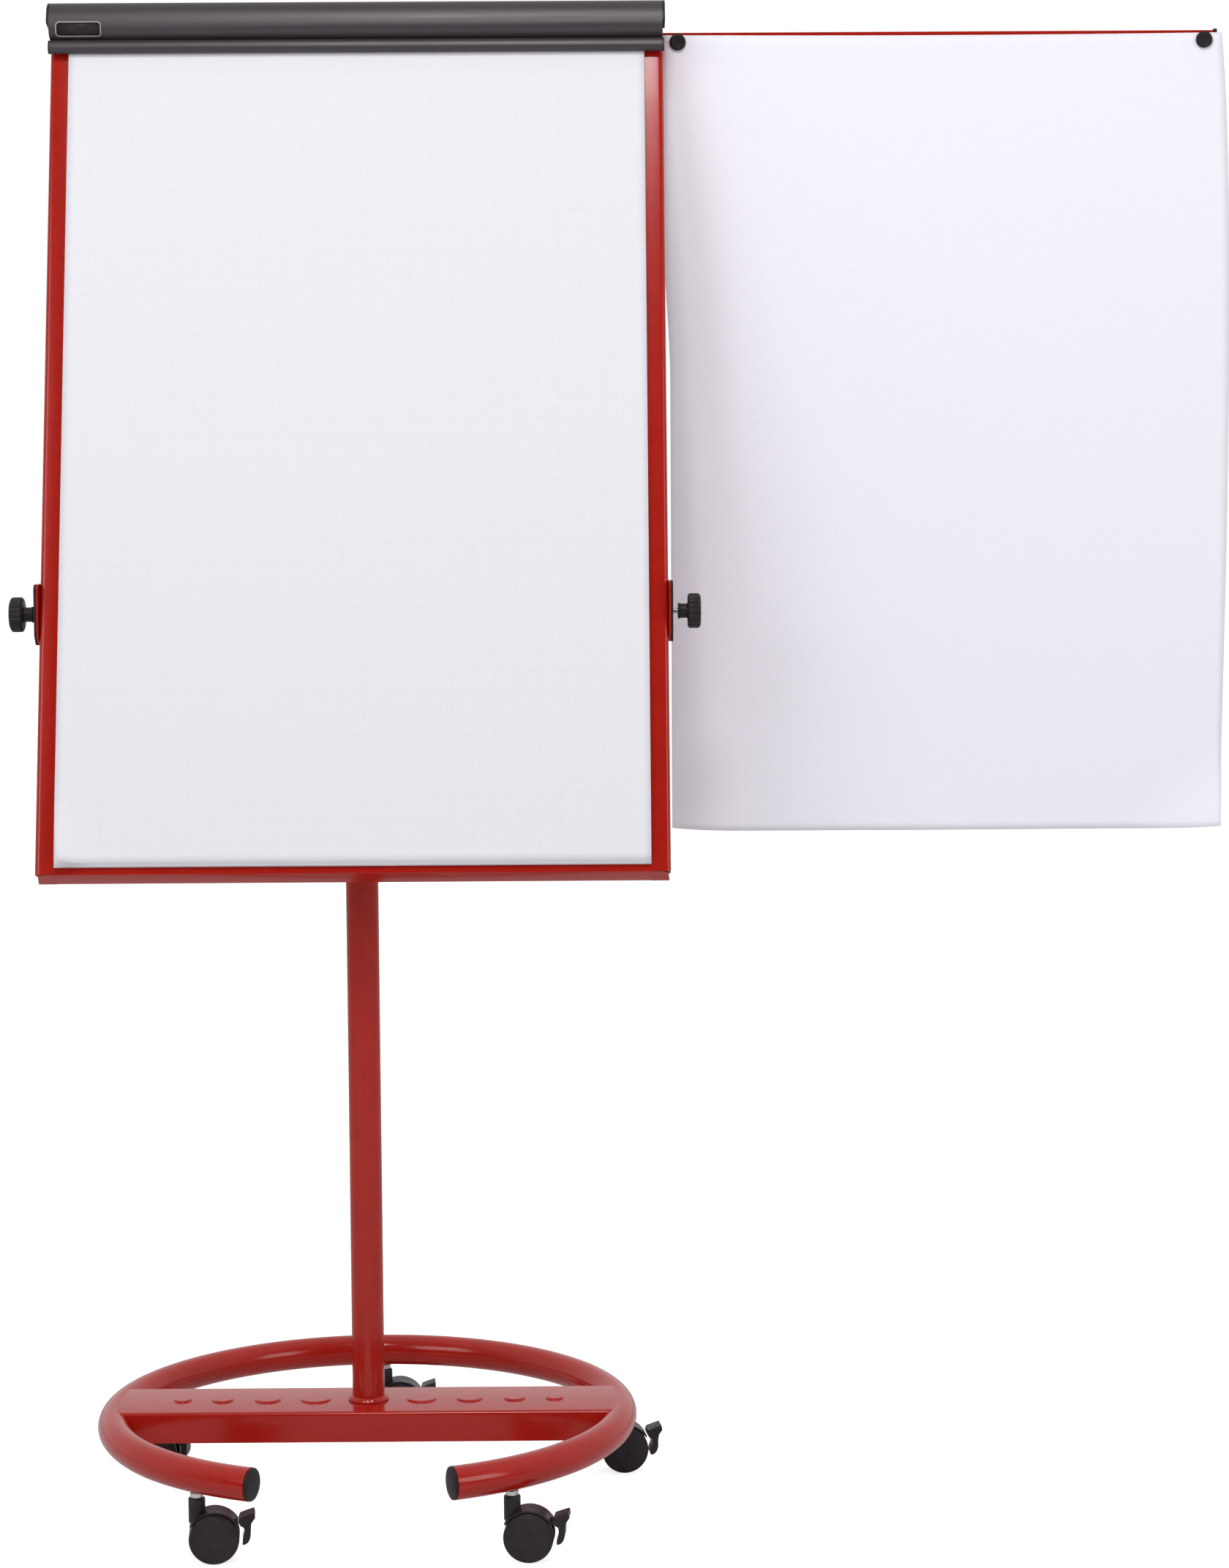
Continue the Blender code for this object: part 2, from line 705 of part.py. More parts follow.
def build_clamp(board):
    hinge = empty("clamp_hinge", (0.0, deep(-CLAMP_AXIS_OUT), up(CLAMP_AXIS_UP)), parent=board)
    end = CLAMP_HALF_WIDTH - CLAMP_CAP_THICKNESS
    bar = across("clamp_bar", clamp_points(HOOD_OUTER + HOOD_INNER), -end + GAP, end - GAP)
    place("clamp_bar", bar, ANTHRACITE, hinge)
    cap_outline = [point for point in HOOD_OUTER if point[1] > CLAMP_CAP_LOW]
    cap_outline += [(HOOD_OUTER[0][0], CLAMP_CAP_LOW)]
    for name, side in (("left", -1.0), ("right", 1.0)):
        low, high = sorted((side * end, side * CLAMP_HALF_WIDTH))
        cap = across("cap", clamp_points(cap_outline), low, high)
        hole = axis_hole(low - CUT_MARGIN, high + CUT_MARGIN, CLAMP_ROD_RADIUS + GAP)
        cap = combine(cap, hole, "DIFFERENCE")
        place(f"clamp_end_cap_{name}", cap, BLACK_PLASTIC, hinge)
    reach = CLAMP_HALF_WIDTH - GAP
    rod = along_x(turned("rod", rod_profile(CLAMP_ROD_RADIUS, -reach, reach), 12))
    place("clamp_hinge_rod", rod, BRIGHT_STEEL, hinge)


def build_pad(board):
    """The pad, with two punched holes that hang on pins in front of the panel."""
    half = PAPER_WIDTH / 2
    front = deep(-GAP - PAD_THICKNESS)
    low = (-half, front, up(PAD_BOTTOM))
    high = (half, deep(-GAP), up(PAD_BOTTOM + PAD_LENGTH))
    pad = box("pad", low, high)
    for name, x in (("left", -PIN_SPACING / 2), ("right", PIN_SPACING / 2)):
        spot = (x, deep(0.0), up(PIN_HEIGHT))
        hole = turned("hole", rod_profile(PIN_RADIUS + PIN_CLEARANCE, -CUT_MARGIN, CUT_MARGIN), 16)
        pad = combine(pad, along_y(hole, *spot), "DIFFERENCE")
        pin = turned("pin", rod_profile(PIN_RADIUS, -PIN_LENGTH, 0.0), 16)
        place(f"pad_pin_{name}", along_y(pin), BRIGHT_STEEL, board, spot)
    place("paper_pad", pad, PAPER, board)


# Side arms


def board_back(height):
    """World y of the board's back face at a world height."""
    climb = (height - AXIS_HEIGHT) * tan(BOARD_LEAN)
    return -AXIS_FORWARD + climb + (BOARD_DEPTH - AXIS_DEPTH) / cos(BOARD_LEAN)


def build_arm(side, root):
    top = ARM_TOP[side]
    pin_x = ARM_PIN_OUT if side == "right" else -ARM_PIN_OUT
    hinge = empty(f"arm_hinge_{side}", (pin_x, ARM_PIN_BACK, top), parent=root)
    half = ARM_THICKNESS / 2
    bar = box("bar", (ARM_START, -half, -ARM_HEIGHT), (ARM_REACH, half, 0.0))
    knuckle = turned("knuckle", rod_profile(KNUCKLE_RADIUS, -ARM_HEIGHT, 0.0), 20)
    bar = combine(bar, knuckle, "UNION")
    bore = turned("bore", rod_profile(ARM_PIN_RADIUS + GAP, -ARM_HEIGHT - CUT_MARGIN, CUT_MARGIN), 12)
    place(f"side_arm_{side}", combine(bar, bore, "DIFFERENCE"), RED_PAINT, hinge)
    cap_low = (ARM_REACH + GAP, -half, -ARM_HEIGHT - ARM_CAP_RISE)
    cap_high = (ARM_REACH + GAP + ARM_CAP_LENGTH, half, ARM_CAP_RISE)
    place(f"arm_end_cap_{side}", box("cap", cap_low, cap_high), BLACK_PLASTIC, hinge)
    build_arm_bracket(side, hinge, top)
    return hinge


def build_arm_bracket(side, hinge, top):
    """A clevis on the board's back: a lug over and under the arm's knuckle, and the pin."""
    high = LUG_HEIGHT
    low = -ARM_HEIGHT - LUG_HEIGHT
    behind = KNUCKLE_RADIUS
    web = -KNUCKLE_RADIUS - OVERLAP
    front_high = board_back(top + high) - ARM_PIN_BACK + 2 * GAP
    front_low = board_back(top + low) - ARM_PIN_BACK + 2 * GAP
    outline = [
        (front_low, low),
        (behind, low),
        (behind, -ARM_HEIGHT - GAP),
        (web, -ARM_HEIGHT - GAP),
        (web, GAP),
        (behind, GAP),
        (behind, high),
        (front_high, high),
    ]
    width = KNUCKLE_RADIUS
    body = across("bracket", outline, -width, width)
    pin = turned("pin", rod_profile(ARM_PIN_RADIUS, low + PIN_SHORT, high - PIN_SHORT), 12)
    place(f"arm_bracket_{side}", combine(body, pin, "UNION"), RED_PAINT, hinge)


def build_hanging_sheet(hinge):
    face = -ARM_THICKNESS / 2 - GAP
    left = SHEET_LEFT - ARM_PIN_OUT
    top = SHEET_TOP - ARM_TOP["right"]
    low = (left, face - SHEET_THICKNESS, top - SHEET_LENGTH)
    high = (left + PAPER_WIDTH, face, top)
    place("hanging_sheet", box("sheet", low, high), PAPER, hinge)
    for name, x in MAGNET_PLACES.items():
        profile = [
            (0.0, 0.0),
            (MAGNET_RADIUS, 0.0),
            (MAGNET_RADIUS, MAGNET_THICKNESS - MAGNET_RIM),
            (MAGNET_RADIUS - MAGNET_RIM, MAGNET_THICKNESS),
            (0.0, MAGNET_THICKNESS),
        ]
        magnet = turned("magnet", profile, 20)
        spot = (x - ARM_PIN_OUT, face - SHEET_THICKNESS - GAP, MAGNET_HEIGHT - ARM_TOP["right"])
        place(f"magnet_{name}", magnet, BLACK_PLASTIC, hinge, spot, (pi / 2, 0.0, 0.0))


# Casters: drawn with the swivel axis at x = 0 and the wheels trailing towards +X


def housing_mesh():
    centre = (TRAIL, WHEEL_RADIUS)
    outline = arc(centre, HOOD_RADIUS, *HOOD_SPAN, 12)
    foot = WHEEL_RADIUS - WEB_BELOW_AXLE
    outline += [(TRAIL - WEB_HALF_FOOT, foot), (TRAIL + WEB_HALF_FOOT, foot)]
    body = prism("housing", outline, -HOOD_HALF_WIDTH, HOOD_HALF_WIDTH)
    neck = turned("neck", rod_profile(CASTER_NECK_RADIUS, NECK_FOOT, CASTER_NECK_TOP), 16)
    body = combine(body, neck, "UNION")
    well = WHEEL_RADIUS + HOOD_CLEARANCE
    for side in (-1.0, 1.0):
        low, high = sorted((side * WEB_HALF_WIDTH, side * (HOOD_HALF_WIDTH + CUT_MARGIN)))
        hollow = along_y(turned("well", rod_profile(well, low, high), 24), TRAIL, 0.0, WHEEL_RADIUS)
        body = combine(body, hollow, "DIFFERENCE")
    reach = WHEEL_OUTER_FACE - AXLE_SHORT
    axle = along_y(turned("axle", rod_profile(AXLE_RADIUS, -reach, reach), 12), TRAIL, 0.0, WHEEL_RADIUS)
    body = combine(body, axle, "UNION")
    bore_foot = STEM_FOOT - GAP
    bore = turned("bore", rod_profile(STEM_RADIUS + GAP, bore_foot, CASTER_NECK_TOP + CUT_MARGIN), 12)
    return combine(body, bore, "DIFFERENCE")


def wheel_mesh():
    edge = WHEEL_EDGE
    profile = [
        (AXLE_RADIUS + GAP, WHEEL_INNER_FACE),
        (WHEEL_RADIUS - edge, WHEEL_INNER_FACE),
        (WHEEL_RADIUS, WHEEL_INNER_FACE + edge),
        (WHEEL_RADIUS, WHEEL_OUTER_FACE - edge),
        (WHEEL_RADIUS - edge, WHEEL_OUTER_FACE),
        (0.0, WHEEL_OUTER_FACE),
        (0.0, WHEEL_OUTER_FACE - HUB_SKIN),
        (AXLE_RADIUS + GAP, WHEEL_OUTER_FACE - HUB_SKIN),
    ]
    return turned("wheel", profile, 20)


def lever_mesh():
    outline = [
        (0.0462, 0.0462),
        (0.0480, 0.0518),
        (0.0560, 0.0545),
        (0.0645, 0.0572),
        (0.0656, 0.0508),
        (0.0606, 0.0440),
        (0.0600, 0.0300),
        (0.0578, 0.0240),
        (0.0540, 0.0206),
        (0.0504, 0.0204),
        (0.0512, 0.0270),
        (0.0528, 0.0312),
        (0.0532, 0.0360),
        (0.0522, 0.0402),
        (0.0490, 0.0418),
    ]
    shifted = [(x - LEVER_PIVOT[0], z - LEVER_PIVOT[1]) for x, z in outline]
    return prism("lever", shifted, -LEVER_HALF_WIDTH, LEVER_HALF_WIDTH)


def stem_mesh():
    collar_low = CASTER_NECK_TOP + GAP
    collar_high = RING_HEIGHT - TUBE_RADIUS - GAP
    profile = [
        (0.0, STEM_FOOT),
        (STEM_RADIUS, STEM_FOOT),
        (STEM_RADIUS, collar_low),
        (COLLAR_RADIUS, collar_low),
        (COLLAR_RADIUS, collar_high),
        (STEM_RADIUS, collar_high),
        (STEM_RADIUS, RING_HEIGHT - STEM_IN_RING),
        (0.0, RING_HEIGHT - STEM_IN_RING),
    ]
    return turned("stem", profile, 16)


def build_casters(parent):
    stem = stem_mesh()
    housing = housing_mesh()
    wheel = wheel_mesh()
    lever = lever_mesh()
    for name, angle in CASTER_ANGLES.items():
        x, y = caster_place(angle)
        place(f"caster_stem_{name}", stem, BRIGHT_STEEL, parent, (x, y, 0.0))
        yaw = (0.0, 0.0, radians(CASTER_YAWS[name]))
        swivel = empty(f"swivel_{name}", (x, y, 0.0), yaw, parent)
        place(f"caster_housing_{name}", housing, CASTER_PLASTIC, swivel)
        axle = (TRAIL, 0.0, WHEEL_RADIUS)
        place(f"caster_wheel_back_{name}", wheel, CASTER_PLASTIC, swivel, axle, (-pi / 2, 0.0, 0.0))
        place(f"caster_wheel_front_{name}", wheel, CASTER_PLASTIC, swivel, axle, (pi / 2, 0.0, 0.0))
        pivot = (LEVER_PIVOT[0], 0.0, LEVER_PIVOT[1])
        place(f"caster_lever_{name}", lever, CASTER_PLASTIC, swivel, pivot)


def centre_on_floor(root):
    """Shift the whole easel so that its bounding box stands centred on the origin."""
    bpy.context.view_layer.update()
    corners = []
    for item in bpy.data.objects:
        if item.type == "MESH":
            corners += [item.matrix_world @ vertex.co for vertex in item.data.vertices]
    low = [min(corner[i] for corner in corners) for i in range(3)]
    high = [max(corner[i] for corner in corners) for i in range(3)]
    root.location = (-(low[0] + high[0]) / 2, -(low[1] + high[1]) / 2, -low[2])


def main():
    clear_scene()
    root = empty("easel")
    build_ring(root)
    build_channel(root)
    build_mast(root)
    build_casters(root)
    head = empty("tilt_axis", (0.0, -AXIS_FORWARD, AXIS_HEIGHT), parent=root)
    build_yoke(head)
    board = empty("board_frame", rotation=(-BOARD_LEAN, 0.0, 0.0), parent=head)
    build_slide_nuts(board)
    build_side_rails(board)
    build_cross_rails(board)
    build_panel(board)
    build_clamp(board)
    build_pad(board)
    for side in ("right", "left"):
        hinge = build_arm(side, root)
        if side == "right":
            build_hanging_sheet(hinge)
    centre_on_floor(root)


main()
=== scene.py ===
"""The looks of the flipchart easel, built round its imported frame."""

import json
from math import atan2, cos, exp, pi, radians, sin, sqrt, tan

import bmesh
import bpy
from mathutils import Matrix, Vector, noise


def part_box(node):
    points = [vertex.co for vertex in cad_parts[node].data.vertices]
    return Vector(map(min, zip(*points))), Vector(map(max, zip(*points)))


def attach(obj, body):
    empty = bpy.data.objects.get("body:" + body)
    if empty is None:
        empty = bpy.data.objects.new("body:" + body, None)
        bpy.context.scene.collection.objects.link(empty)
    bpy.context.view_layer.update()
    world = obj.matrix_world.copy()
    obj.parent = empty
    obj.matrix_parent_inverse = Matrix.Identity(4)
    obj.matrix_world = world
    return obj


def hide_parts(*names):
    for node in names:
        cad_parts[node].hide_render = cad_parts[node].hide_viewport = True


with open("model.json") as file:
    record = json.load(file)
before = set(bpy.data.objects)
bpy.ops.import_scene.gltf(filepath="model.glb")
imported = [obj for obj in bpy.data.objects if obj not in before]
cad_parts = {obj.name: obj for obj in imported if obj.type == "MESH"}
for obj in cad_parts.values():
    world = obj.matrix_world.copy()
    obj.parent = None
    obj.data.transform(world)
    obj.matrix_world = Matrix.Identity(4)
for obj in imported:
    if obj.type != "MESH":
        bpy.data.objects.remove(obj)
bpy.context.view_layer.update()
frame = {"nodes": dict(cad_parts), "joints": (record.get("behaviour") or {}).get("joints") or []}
JOINTS = {joint["name"]: joint for joint in frame["joints"]}

# Sizes of the easel, in metres
RING_RADIUS = 0.3025
TUBE_RADIUS = 0.019
RING_HALF_OPENING = radians(22.0)
CHANNEL_HALF_DEPTH = 0.056
CHANNEL_WALL = 0.003
CHANNEL_REACH = 0.2982
DISCS = ((0.0635, 0.0185), (0.1210, 0.0161), (0.1750, 0.0134), (0.2228, 0.0110))
DISC_RISE = 0.0020
MAST_RADIUS = 0.0192
BOARD_LENGTH = 1.030
BOARD_HALF_WIDTH = 0.3624
BOARD_DEPTH = 0.025
RAIL_WIDTH = 0.0225
RAIL_WALL = 0.0016
BOTTOM_EDGE = 0.0045
BEVEL_DROP = 0.0080
SLOT = (0.040, 0.400, 0.0080)
CLAMP_HALF_WIDTH = 0.3646
CLAMP_CAP_THICKNESS = 0.0030
PAPER_WIDTH = 0.680
PAD_LENGTH = 0.990
PAD_BOTTOM = 0.0130
PIN_HEIGHT = 0.9925
SHEET_LENGTH = 0.957
WHEEL_RADIUS = 0.0285
TRAIL = 0.019
HOOD_RADIUS = 0.0315
HOOD_HALF_WIDTH = 0.0150
AXLE_RADIUS = 0.003
AXLE_HALF_LENGTH = 0.0148
WHEEL_INNER_FACE = 0.0036
WHEEL_OUTER_FACE = 0.01823
LEVER_HALF_WIDTH = 0.0120
TREAD_TILT = -18.0
MITRE_START = 0.3512
MITRE_END = 0.3612

# The loose sheet's left strip: its width, the angle it turns back by, and where that starts and ends
EDGE_STRIP = 0.095
EDGE_BEND = 0.85
EDGE_BEND_START = 0.085
EDGE_BEND_SPAN = 0.35

CASTERS = ("front_left", "front_right", "right", "back", "left")
ACROSS = Vector((1.0, 0.0, 0.0))

# Light: the strength of the world behind and in front, and the soft boxes in watts
COVE_LIGHT = 0.80
ROOM_LIGHT = 0.06
KEY_POWER = 56.0
FILL_POWER = 44.0
FRONT_POWER = 66.0
FLOOR_GLOW = 0.75
COVE_START = -0.75
COVE_FULL = 0.05

LENS = 76.4
SENSOR_WIDTH = 36.0


def span(node, direction):
    """Lowest and highest reach of a CAD node along a direction."""
    reach = [direction.dot(vertex.co) for vertex in frame["nodes"][node].data.vertices]
    return min(reach), max(reach)


def middle(node):
    low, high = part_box(node)
    return (low + high) / 2


def axes_matrix(x, y, z, origin):
    matrix = Matrix((x, y, z)).transposed().to_4x4()
    matrix.translation = origin
    return matrix


MAST = middle("mast")
RING_HEIGHT = middle("base_ring").z
CHANNEL_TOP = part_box("base_channel")[1].z - DISC_RISE
BASE_SPACE = Matrix.Translation((MAST.x, MAST.y, 0.0))

# Board space: x across from the middle, y behind the front face, z up the board from its corner
UP_BOARD = Vector(JOINTS["board_height"]["axis"]).normalized()
INTO_BOARD = UP_BOARD.cross(ACROSS)
BOARD_ORIGIN = (
    ACROSS * MAST.x
    + INTO_BOARD * span("board_rail_right", INTO_BOARD)[0]
    + UP_BOARD * (span("board_rail_right", UP_BOARD)[1] - BOARD_LENGTH)
)
BOARD_SPACE = axes_matrix(ACROSS, INTO_BOARD, UP_BOARD, BOARD_ORIGIN)


# Materials


class Nodes:
    """A short way to build one material's node tree."""

    def __init__(self, name):
        self.material = bpy.data.materials.new(name)
        self.material.use_nodes = True
        self.tree = self.material.node_tree
        self.shader = self.tree.nodes["Principled BSDF"]
        self.place = self.add("ShaderNodeTexCoord").outputs["Object"]

    def add(self, kind, **values):
        node = self.tree.nodes.new(kind)
        for key, value in values.items():
            setattr(node, key, value)
        return node

    def link(self, source, target):
        self.tree.links.new(source, target)

    def set(self, **values):
        for key, value in values.items():
            self.shader.inputs[key.replace("_", " ")].default_value = value

    def stretched(self, scale):
        node = self.add("ShaderNodeMapping")
        node.inputs["Scale"].default_value = scale
        self.link(self.place, node.inputs["Vector"])
        return node.outputs["Vector"]

    def noise(self, scale, detail=3.0, roughness=0.5, vector=None):
        node = self.add("ShaderNodeTexNoise")
        node.inputs["Scale"].default_value = scale
        node.inputs["Detail"].default_value = detail
        node.inputs["Roughness"].default_value = roughness
        self.link(vector or self.place, node.inputs["Vector"])
        return node.outputs["Fac"]

    def spread(self, source, low, high, start=0.3, stop=0.7):
        node = self.add("ShaderNodeMapRange")
        node.inputs["From Min"].default_value = start
        node.inputs["From Max"].default_value = stop
        node.inputs["To Min"].default_value = low
        node.inputs["To Max"].default_value = high
        self.link(source, node.inputs["Value"])
        return node.outputs["Result"]

    def mix(self, factor, first, second):
        node = self.add("ShaderNodeMix", data_type="RGBA")
        self.link(factor, node.inputs["Factor"])
        for socket, value in ((node.inputs[6], first), (node.inputs[7], second)):
            if hasattr(value, "is_linked"):
                self.link(value, socket)
            else:
                socket.default_value = (*value, 1.0)
        return node.outputs[2]

    def maths(self, operation, first, second=None):
        node = self.add("ShaderNodeMath", operation=operation)
        for socket, value in zip(node.inputs, (first, second)):
            if value is None:
                continue
            if hasattr(value, "is_linked"):
                self.link(value, socket)
            else:
                socket.default_value = value
        return node.outputs[0]

    def bump(self, height, strength, distance):
        node = self.add("ShaderNodeBump")
        node.inputs["Strength"].default_value = strength
        node.inputs["Distance"].default_value = distance
        self.link(height, node.inputs["Height"])
        self.link(node.outputs["Normal"], self.shader.inputs["Normal"])


def red_paint():
    """Glossy powder coat: a fine orange-peel skin, faint mottling and a clear gloss over it."""
    made = Nodes("red_powder_coat")
    cloud = made.noise(38.0, 4.0)
    colour = made.mix(made.spread(cloud, 0.0, 1.0), (0.355, 0.0095, 0.0045), (0.385, 0.0120, 0.0058))
    made.link(colour, made.shader.inputs["Base Color"])
    made.link(made.spread(made.noise(160.0, 4.0), 0.15, 0.21), made.shader.inputs["Roughness"])
    made.set(Coat_Weight=0.10, Coat_Roughness=0.05, Specular_IOR_Level=0.30)
    peel = made.noise(620.0, 2.0)
    made.bump(peel, 0.02, 0.0003)
    return made.material


def anthracite():
    """Satin anodised aluminium, drawn along the bar."""
    made = Nodes("anthracite_anodised")
    streak = made.noise(1.0, 4.0, 0.6, made.stretched((6.0, 900.0, 900.0)))
    cloud = made.noise(3.0, 3.0)
    shade = made.maths("ADD", made.maths("MULTIPLY", streak, 0.5), made.maths("MULTIPLY", cloud, 0.5))
    colour = made.mix(made.spread(shade, 0.0, 1.0), (0.041, 0.033, 0.040), (0.055, 0.045, 0.053))
    made.link(colour, made.shader.inputs["Base Color"])
    made.link(made.spread(streak, 0.33, 0.45), made.shader.inputs["Roughness"])
    made.set(Metallic=0.10, Specular_IOR_Level=0.40)
    made.bump(streak, 0.12, 0.0002)
    return made.material


def moulded(name, dark, light, rough_low, rough_high):
    """Moulded plastic with a fine eroded grain."""
    made = Nodes(name)
    colour = made.mix(made.spread(made.noise(24.0, 4.0), 0.0, 1.0), dark, light)
    made.link(colour, made.shader.inputs["Base Color"])
    made.link(made.spread(made.noise(90.0, 4.0), rough_low, rough_high), made.shader.inputs["Roughness"])
    made.set(Specular_IOR_Level=0.22)
    made.bump(made.noise(1500.0, 3.0, 0.65), 0.06, 0.0002)
    return made.material


def zinc():
    """Zinc-plated steel with turning marks and a faint cloudiness."""
    made = Nodes("zinc_plate")
    cloud = made.noise(130.0, 4.0)
    colour = made.mix(made.spread(cloud, 0.0, 1.0), (0.54, 0.54, 0.52), (0.68, 0.68, 0.66))
    made.link(colour, made.shader.inputs["Base Color"])
    made.link(made.spread(made.noise(300.0, 3.0), 0.20, 0.36), made.shader.inputs["Roughness"])
    made.set(Metallic=1.0)
    marks = made.noise(1.0, 3.0, 0.5, made.stretched((160.0, 160.0, 2600.0)))
    made.bump(marks, 0.15, 0.0002)
    return made.material


def enamel():
    """White-coated steel writing face."""
    made = Nodes("white_enamel")
    colour = made.mix(made.spread(made.noise(4.0), 0.0, 1.0), (0.78, 0.78, 0.80), (0.83, 0.83, 0.84))
    made.link(colour, made.shader.inputs["Base Color"])
    made.link(made.spread(made.noise(30.0, 4.0), 0.16, 0.26), made.shader.inputs["Roughness"])
    made.set(Coat_Weight=0.3, Coat_Roughness=0.08)
    made.bump(made.noise(400.0, 2.0), 0.06, 0.0003)
    return made.material


def grid_lines(made, pitch, width):
    """1 on the printed lines of a square grid in the sheet's own x and z, else 0."""
    parts = made.add("ShaderNodeSeparateXYZ")
    made.link(made.place, parts.inputs[0])
    marks = []
    for axis in ("X", "Z"):
        cell = made.maths("FRACT", made.maths("DIVIDE", parts.outputs[axis], pitch))
        from_middle = made.maths("ABSOLUTE", made.maths("SUBTRACT", cell, 0.5))
        marks.append(made.maths("LESS_THAN", from_middle, width / pitch / 2))
    return made.maths("MAXIMUM", marks[0], marks[1])


def paper(name, ruled, low, high):
    """Uncoated paper with fibres, faint cockling and, on the pad, a pale printed grid."""
    made = Nodes(name)
    fibre = made.noise(1.0, 5.0, 0.6, made.stretched((700.0, 700.0, 380.0)))
    colour = made.mix(made.spread(fibre, 0.0, 1.0), low, high)
    if ruled:
        mark = made.maths("MULTIPLY", grid_lines(made, 0.025, 0.0008), 0.13)
        colour = made.mix(mark, colour, (0.62, 0.62, 0.70))
    made.link(colour, made.shader.inputs["Base Color"])
    made.link(made.spread(fibre, 0.72, 0.86), made.shader.inputs["Roughness"])
    made.set(Specular_IOR_Level=0.25)
    cockle = made.noise(5.0, 2.0)
    height = made.maths("ADD", made.maths("MULTIPLY", fibre, 0.02), cockle)
    made.bump(height, 0.12, 0.003)
    return made.material


def page_edges():
    """The cut edges of the pad's sheets, as fine lines through its thickness; the darker lines are painted
    shade in the gaps between the sheets.
    """
    made = Nodes("pad_page_edges")
    lines = made.noise(1.0, 2.0, 0.5, made.stretched((4.0, 9000.0, 4.0)))
    # The darker colour is painted shade between the sheets; the lighter one is the paper's own edge colour
    colour = made.mix(made.spread(lines, 0.0, 1.0, 0.4, 0.6), (0.55, 0.53, 0.60), (0.86, 0.84, 0.90))
    made.link(colour, made.shader.inputs["Base Color"])
    made.set(Roughness=0.8)
    made.bump(lines, 0.4, 0.0002)
    return made.material


RED = red_paint()
ANTHRACITE = anthracite()
BLACK = moulded("black_moulding", (0.012, 0.009, 0.011), (0.022, 0.017, 0.020), 0.36, 0.52)
CASTER = moulded("caster_moulding", (0.020, 0.015, 0.019), (0.036, 0.027, 0.033), 0.26, 0.42)
TYRE = moulded("caster_tyre", (0.030, 0.026, 0.028), (0.048, 0.043, 0.046), 0.55, 0.75)
ZINC = zinc()
ENAMEL = enamel()
PAGE = paper("pad_page", True, (0.765, 0.750, 0.805), (0.805, 0.788, 0.840))
LOOSE = paper("loose_sheet", False, (0.860, 0.842, 0.920), (0.900, 0.880, 0.955))
EDGES = page_edges()
PLATE_RIM = moulded("plate_rim", (0.33, 0.31, 0.33), (0.40, 0.38, 0.40), 0.32, 0.44)


# Mesh building


def rounded(points, radius, steps=5):
    """An outline with its corners rounded; a point may carry its own radius as a third value."""
    out = []
    for i, point in enumerate(points):
        here = Vector(point[:2])
        back = Vector(points[i - 1][:2]) - here
        ahead = Vector(points[(i + 1) % len(points)][:2]) - here
        own = point[2] if len(point) > 2 else radius
        half = back.angle(ahead) / 2
        if own <= 0.0 or half > pi / 2 - 0.01:
            out.append(tuple(here))
            continue
        cut = min(own / tan(half), 0.49 * back.length, 0.49 * ahead.length)
        own = cut * tan(half)
        centre = here + (back.normalized() + ahead.normalized()).normalized() * (own / sin(half))
        start = here + back.normalized() * cut - centre
        stop = here + ahead.normalized() * cut - centre
        first = atan2(start.y, start.x)
        turn = (atan2(stop.y, stop.x) - first + pi) % (2 * pi) - pi
        for k in range(steps + 1):
            a = first + turn * k / steps
            out.append((centre.x + own * cos(a), centre.y + own * sin(a)))
    return out


def flowing(points, steps=6):
    """A smooth open curve through the points."""
    ends = [points[0], *points, points[-1]]
    out = []
    for a, b, c, d in zip(ends, ends[1:], ends[2:], ends[3:]):
        for k in range(steps):
            t = k / steps
            out.append(tuple(catmull(a[i], b[i], c[i], d[i], t) for i in (0, 1)))
    out.append(tuple(points[-1]))
    return out


def catmull(a, b, c, d, t):
    return 0.5 * (2 * b + (c - a) * t + (2 * a - 5 * b + 4 * c - d) * t**2 + (3 * b - a - 3 * c + d) * t**3)


def circle_arc(centre, radius, first, last, steps):
    angles = [radians(first + (last - first) * i / steps) for i in range(steps + 1)]
    return [(centre[0] + radius * cos(a), centre[1] + radius * sin(a)) for a in angles]


PLANES = {
    "x": lambda a, b, c: (c, a, b),
    "y": lambda a, b, c: (a, c, b),
    "z": lambda a, b, c: (a, b, c),
}


def extruded(outline, low, high, along):
    """Extrude an outline along one axis; its two values are the other two axes in order."""
    shape = bmesh.new()
    put = PLANES[along]
    near = [shape.verts.new(put(a, b, low)) for a, b in outline]
    far = [shape.verts.new(put(a, b, high)) for a, b in outline]
    shape.faces.new(near)
    shape.faces.new(far[::-1])
    for i in range(len(outline)):
        j = (i + 1) % len(outline)
        shape.faces.new((near[i], far[i], far[j], near[j]))
    return closed(shape)


def closed(shape):
    bmesh.ops.recalc_face_normals(shape, faces=shape.faces)
    mesh = bpy.data.meshes.new("shape")
    shape.to_mesh(mesh)
    shape.free()
    return mesh


def lathe(profile, sides=64, bend=None):
    """Turn a closed (radius, z) profile about Z; bend may vary the radius with the angle."""
    shape = bmesh.new()
    rings = []
    for radius, z in profile:
        if radius < 1e-7:
            rings.append([shape.verts.new((0.0, 0.0, z))])
            continue
        ring = []
        for i in range(sides):
            a = 2 * pi * i / sides
            r = bend(radius, z, a) if bend else radius
            ring.append(shape.verts.new((r * cos(a), r * sin(a), z)))
        rings.append(ring)
    for ring, after in zip(rings, rings[1:] + rings[:1]):
        bridge(shape, ring, after)
    return closed(shape)


def bridge(shape, ring, after):
    count = max(len(ring), len(after))
    if count == 1:
        return
    for i in range(count):
        j = (i + 1) % count
        corners = [ring[i % len(ring)], ring[j % len(ring)], after[j % len(after)], after[i % len(after)]]
        shape.faces.new(list(dict.fromkeys(corners)))


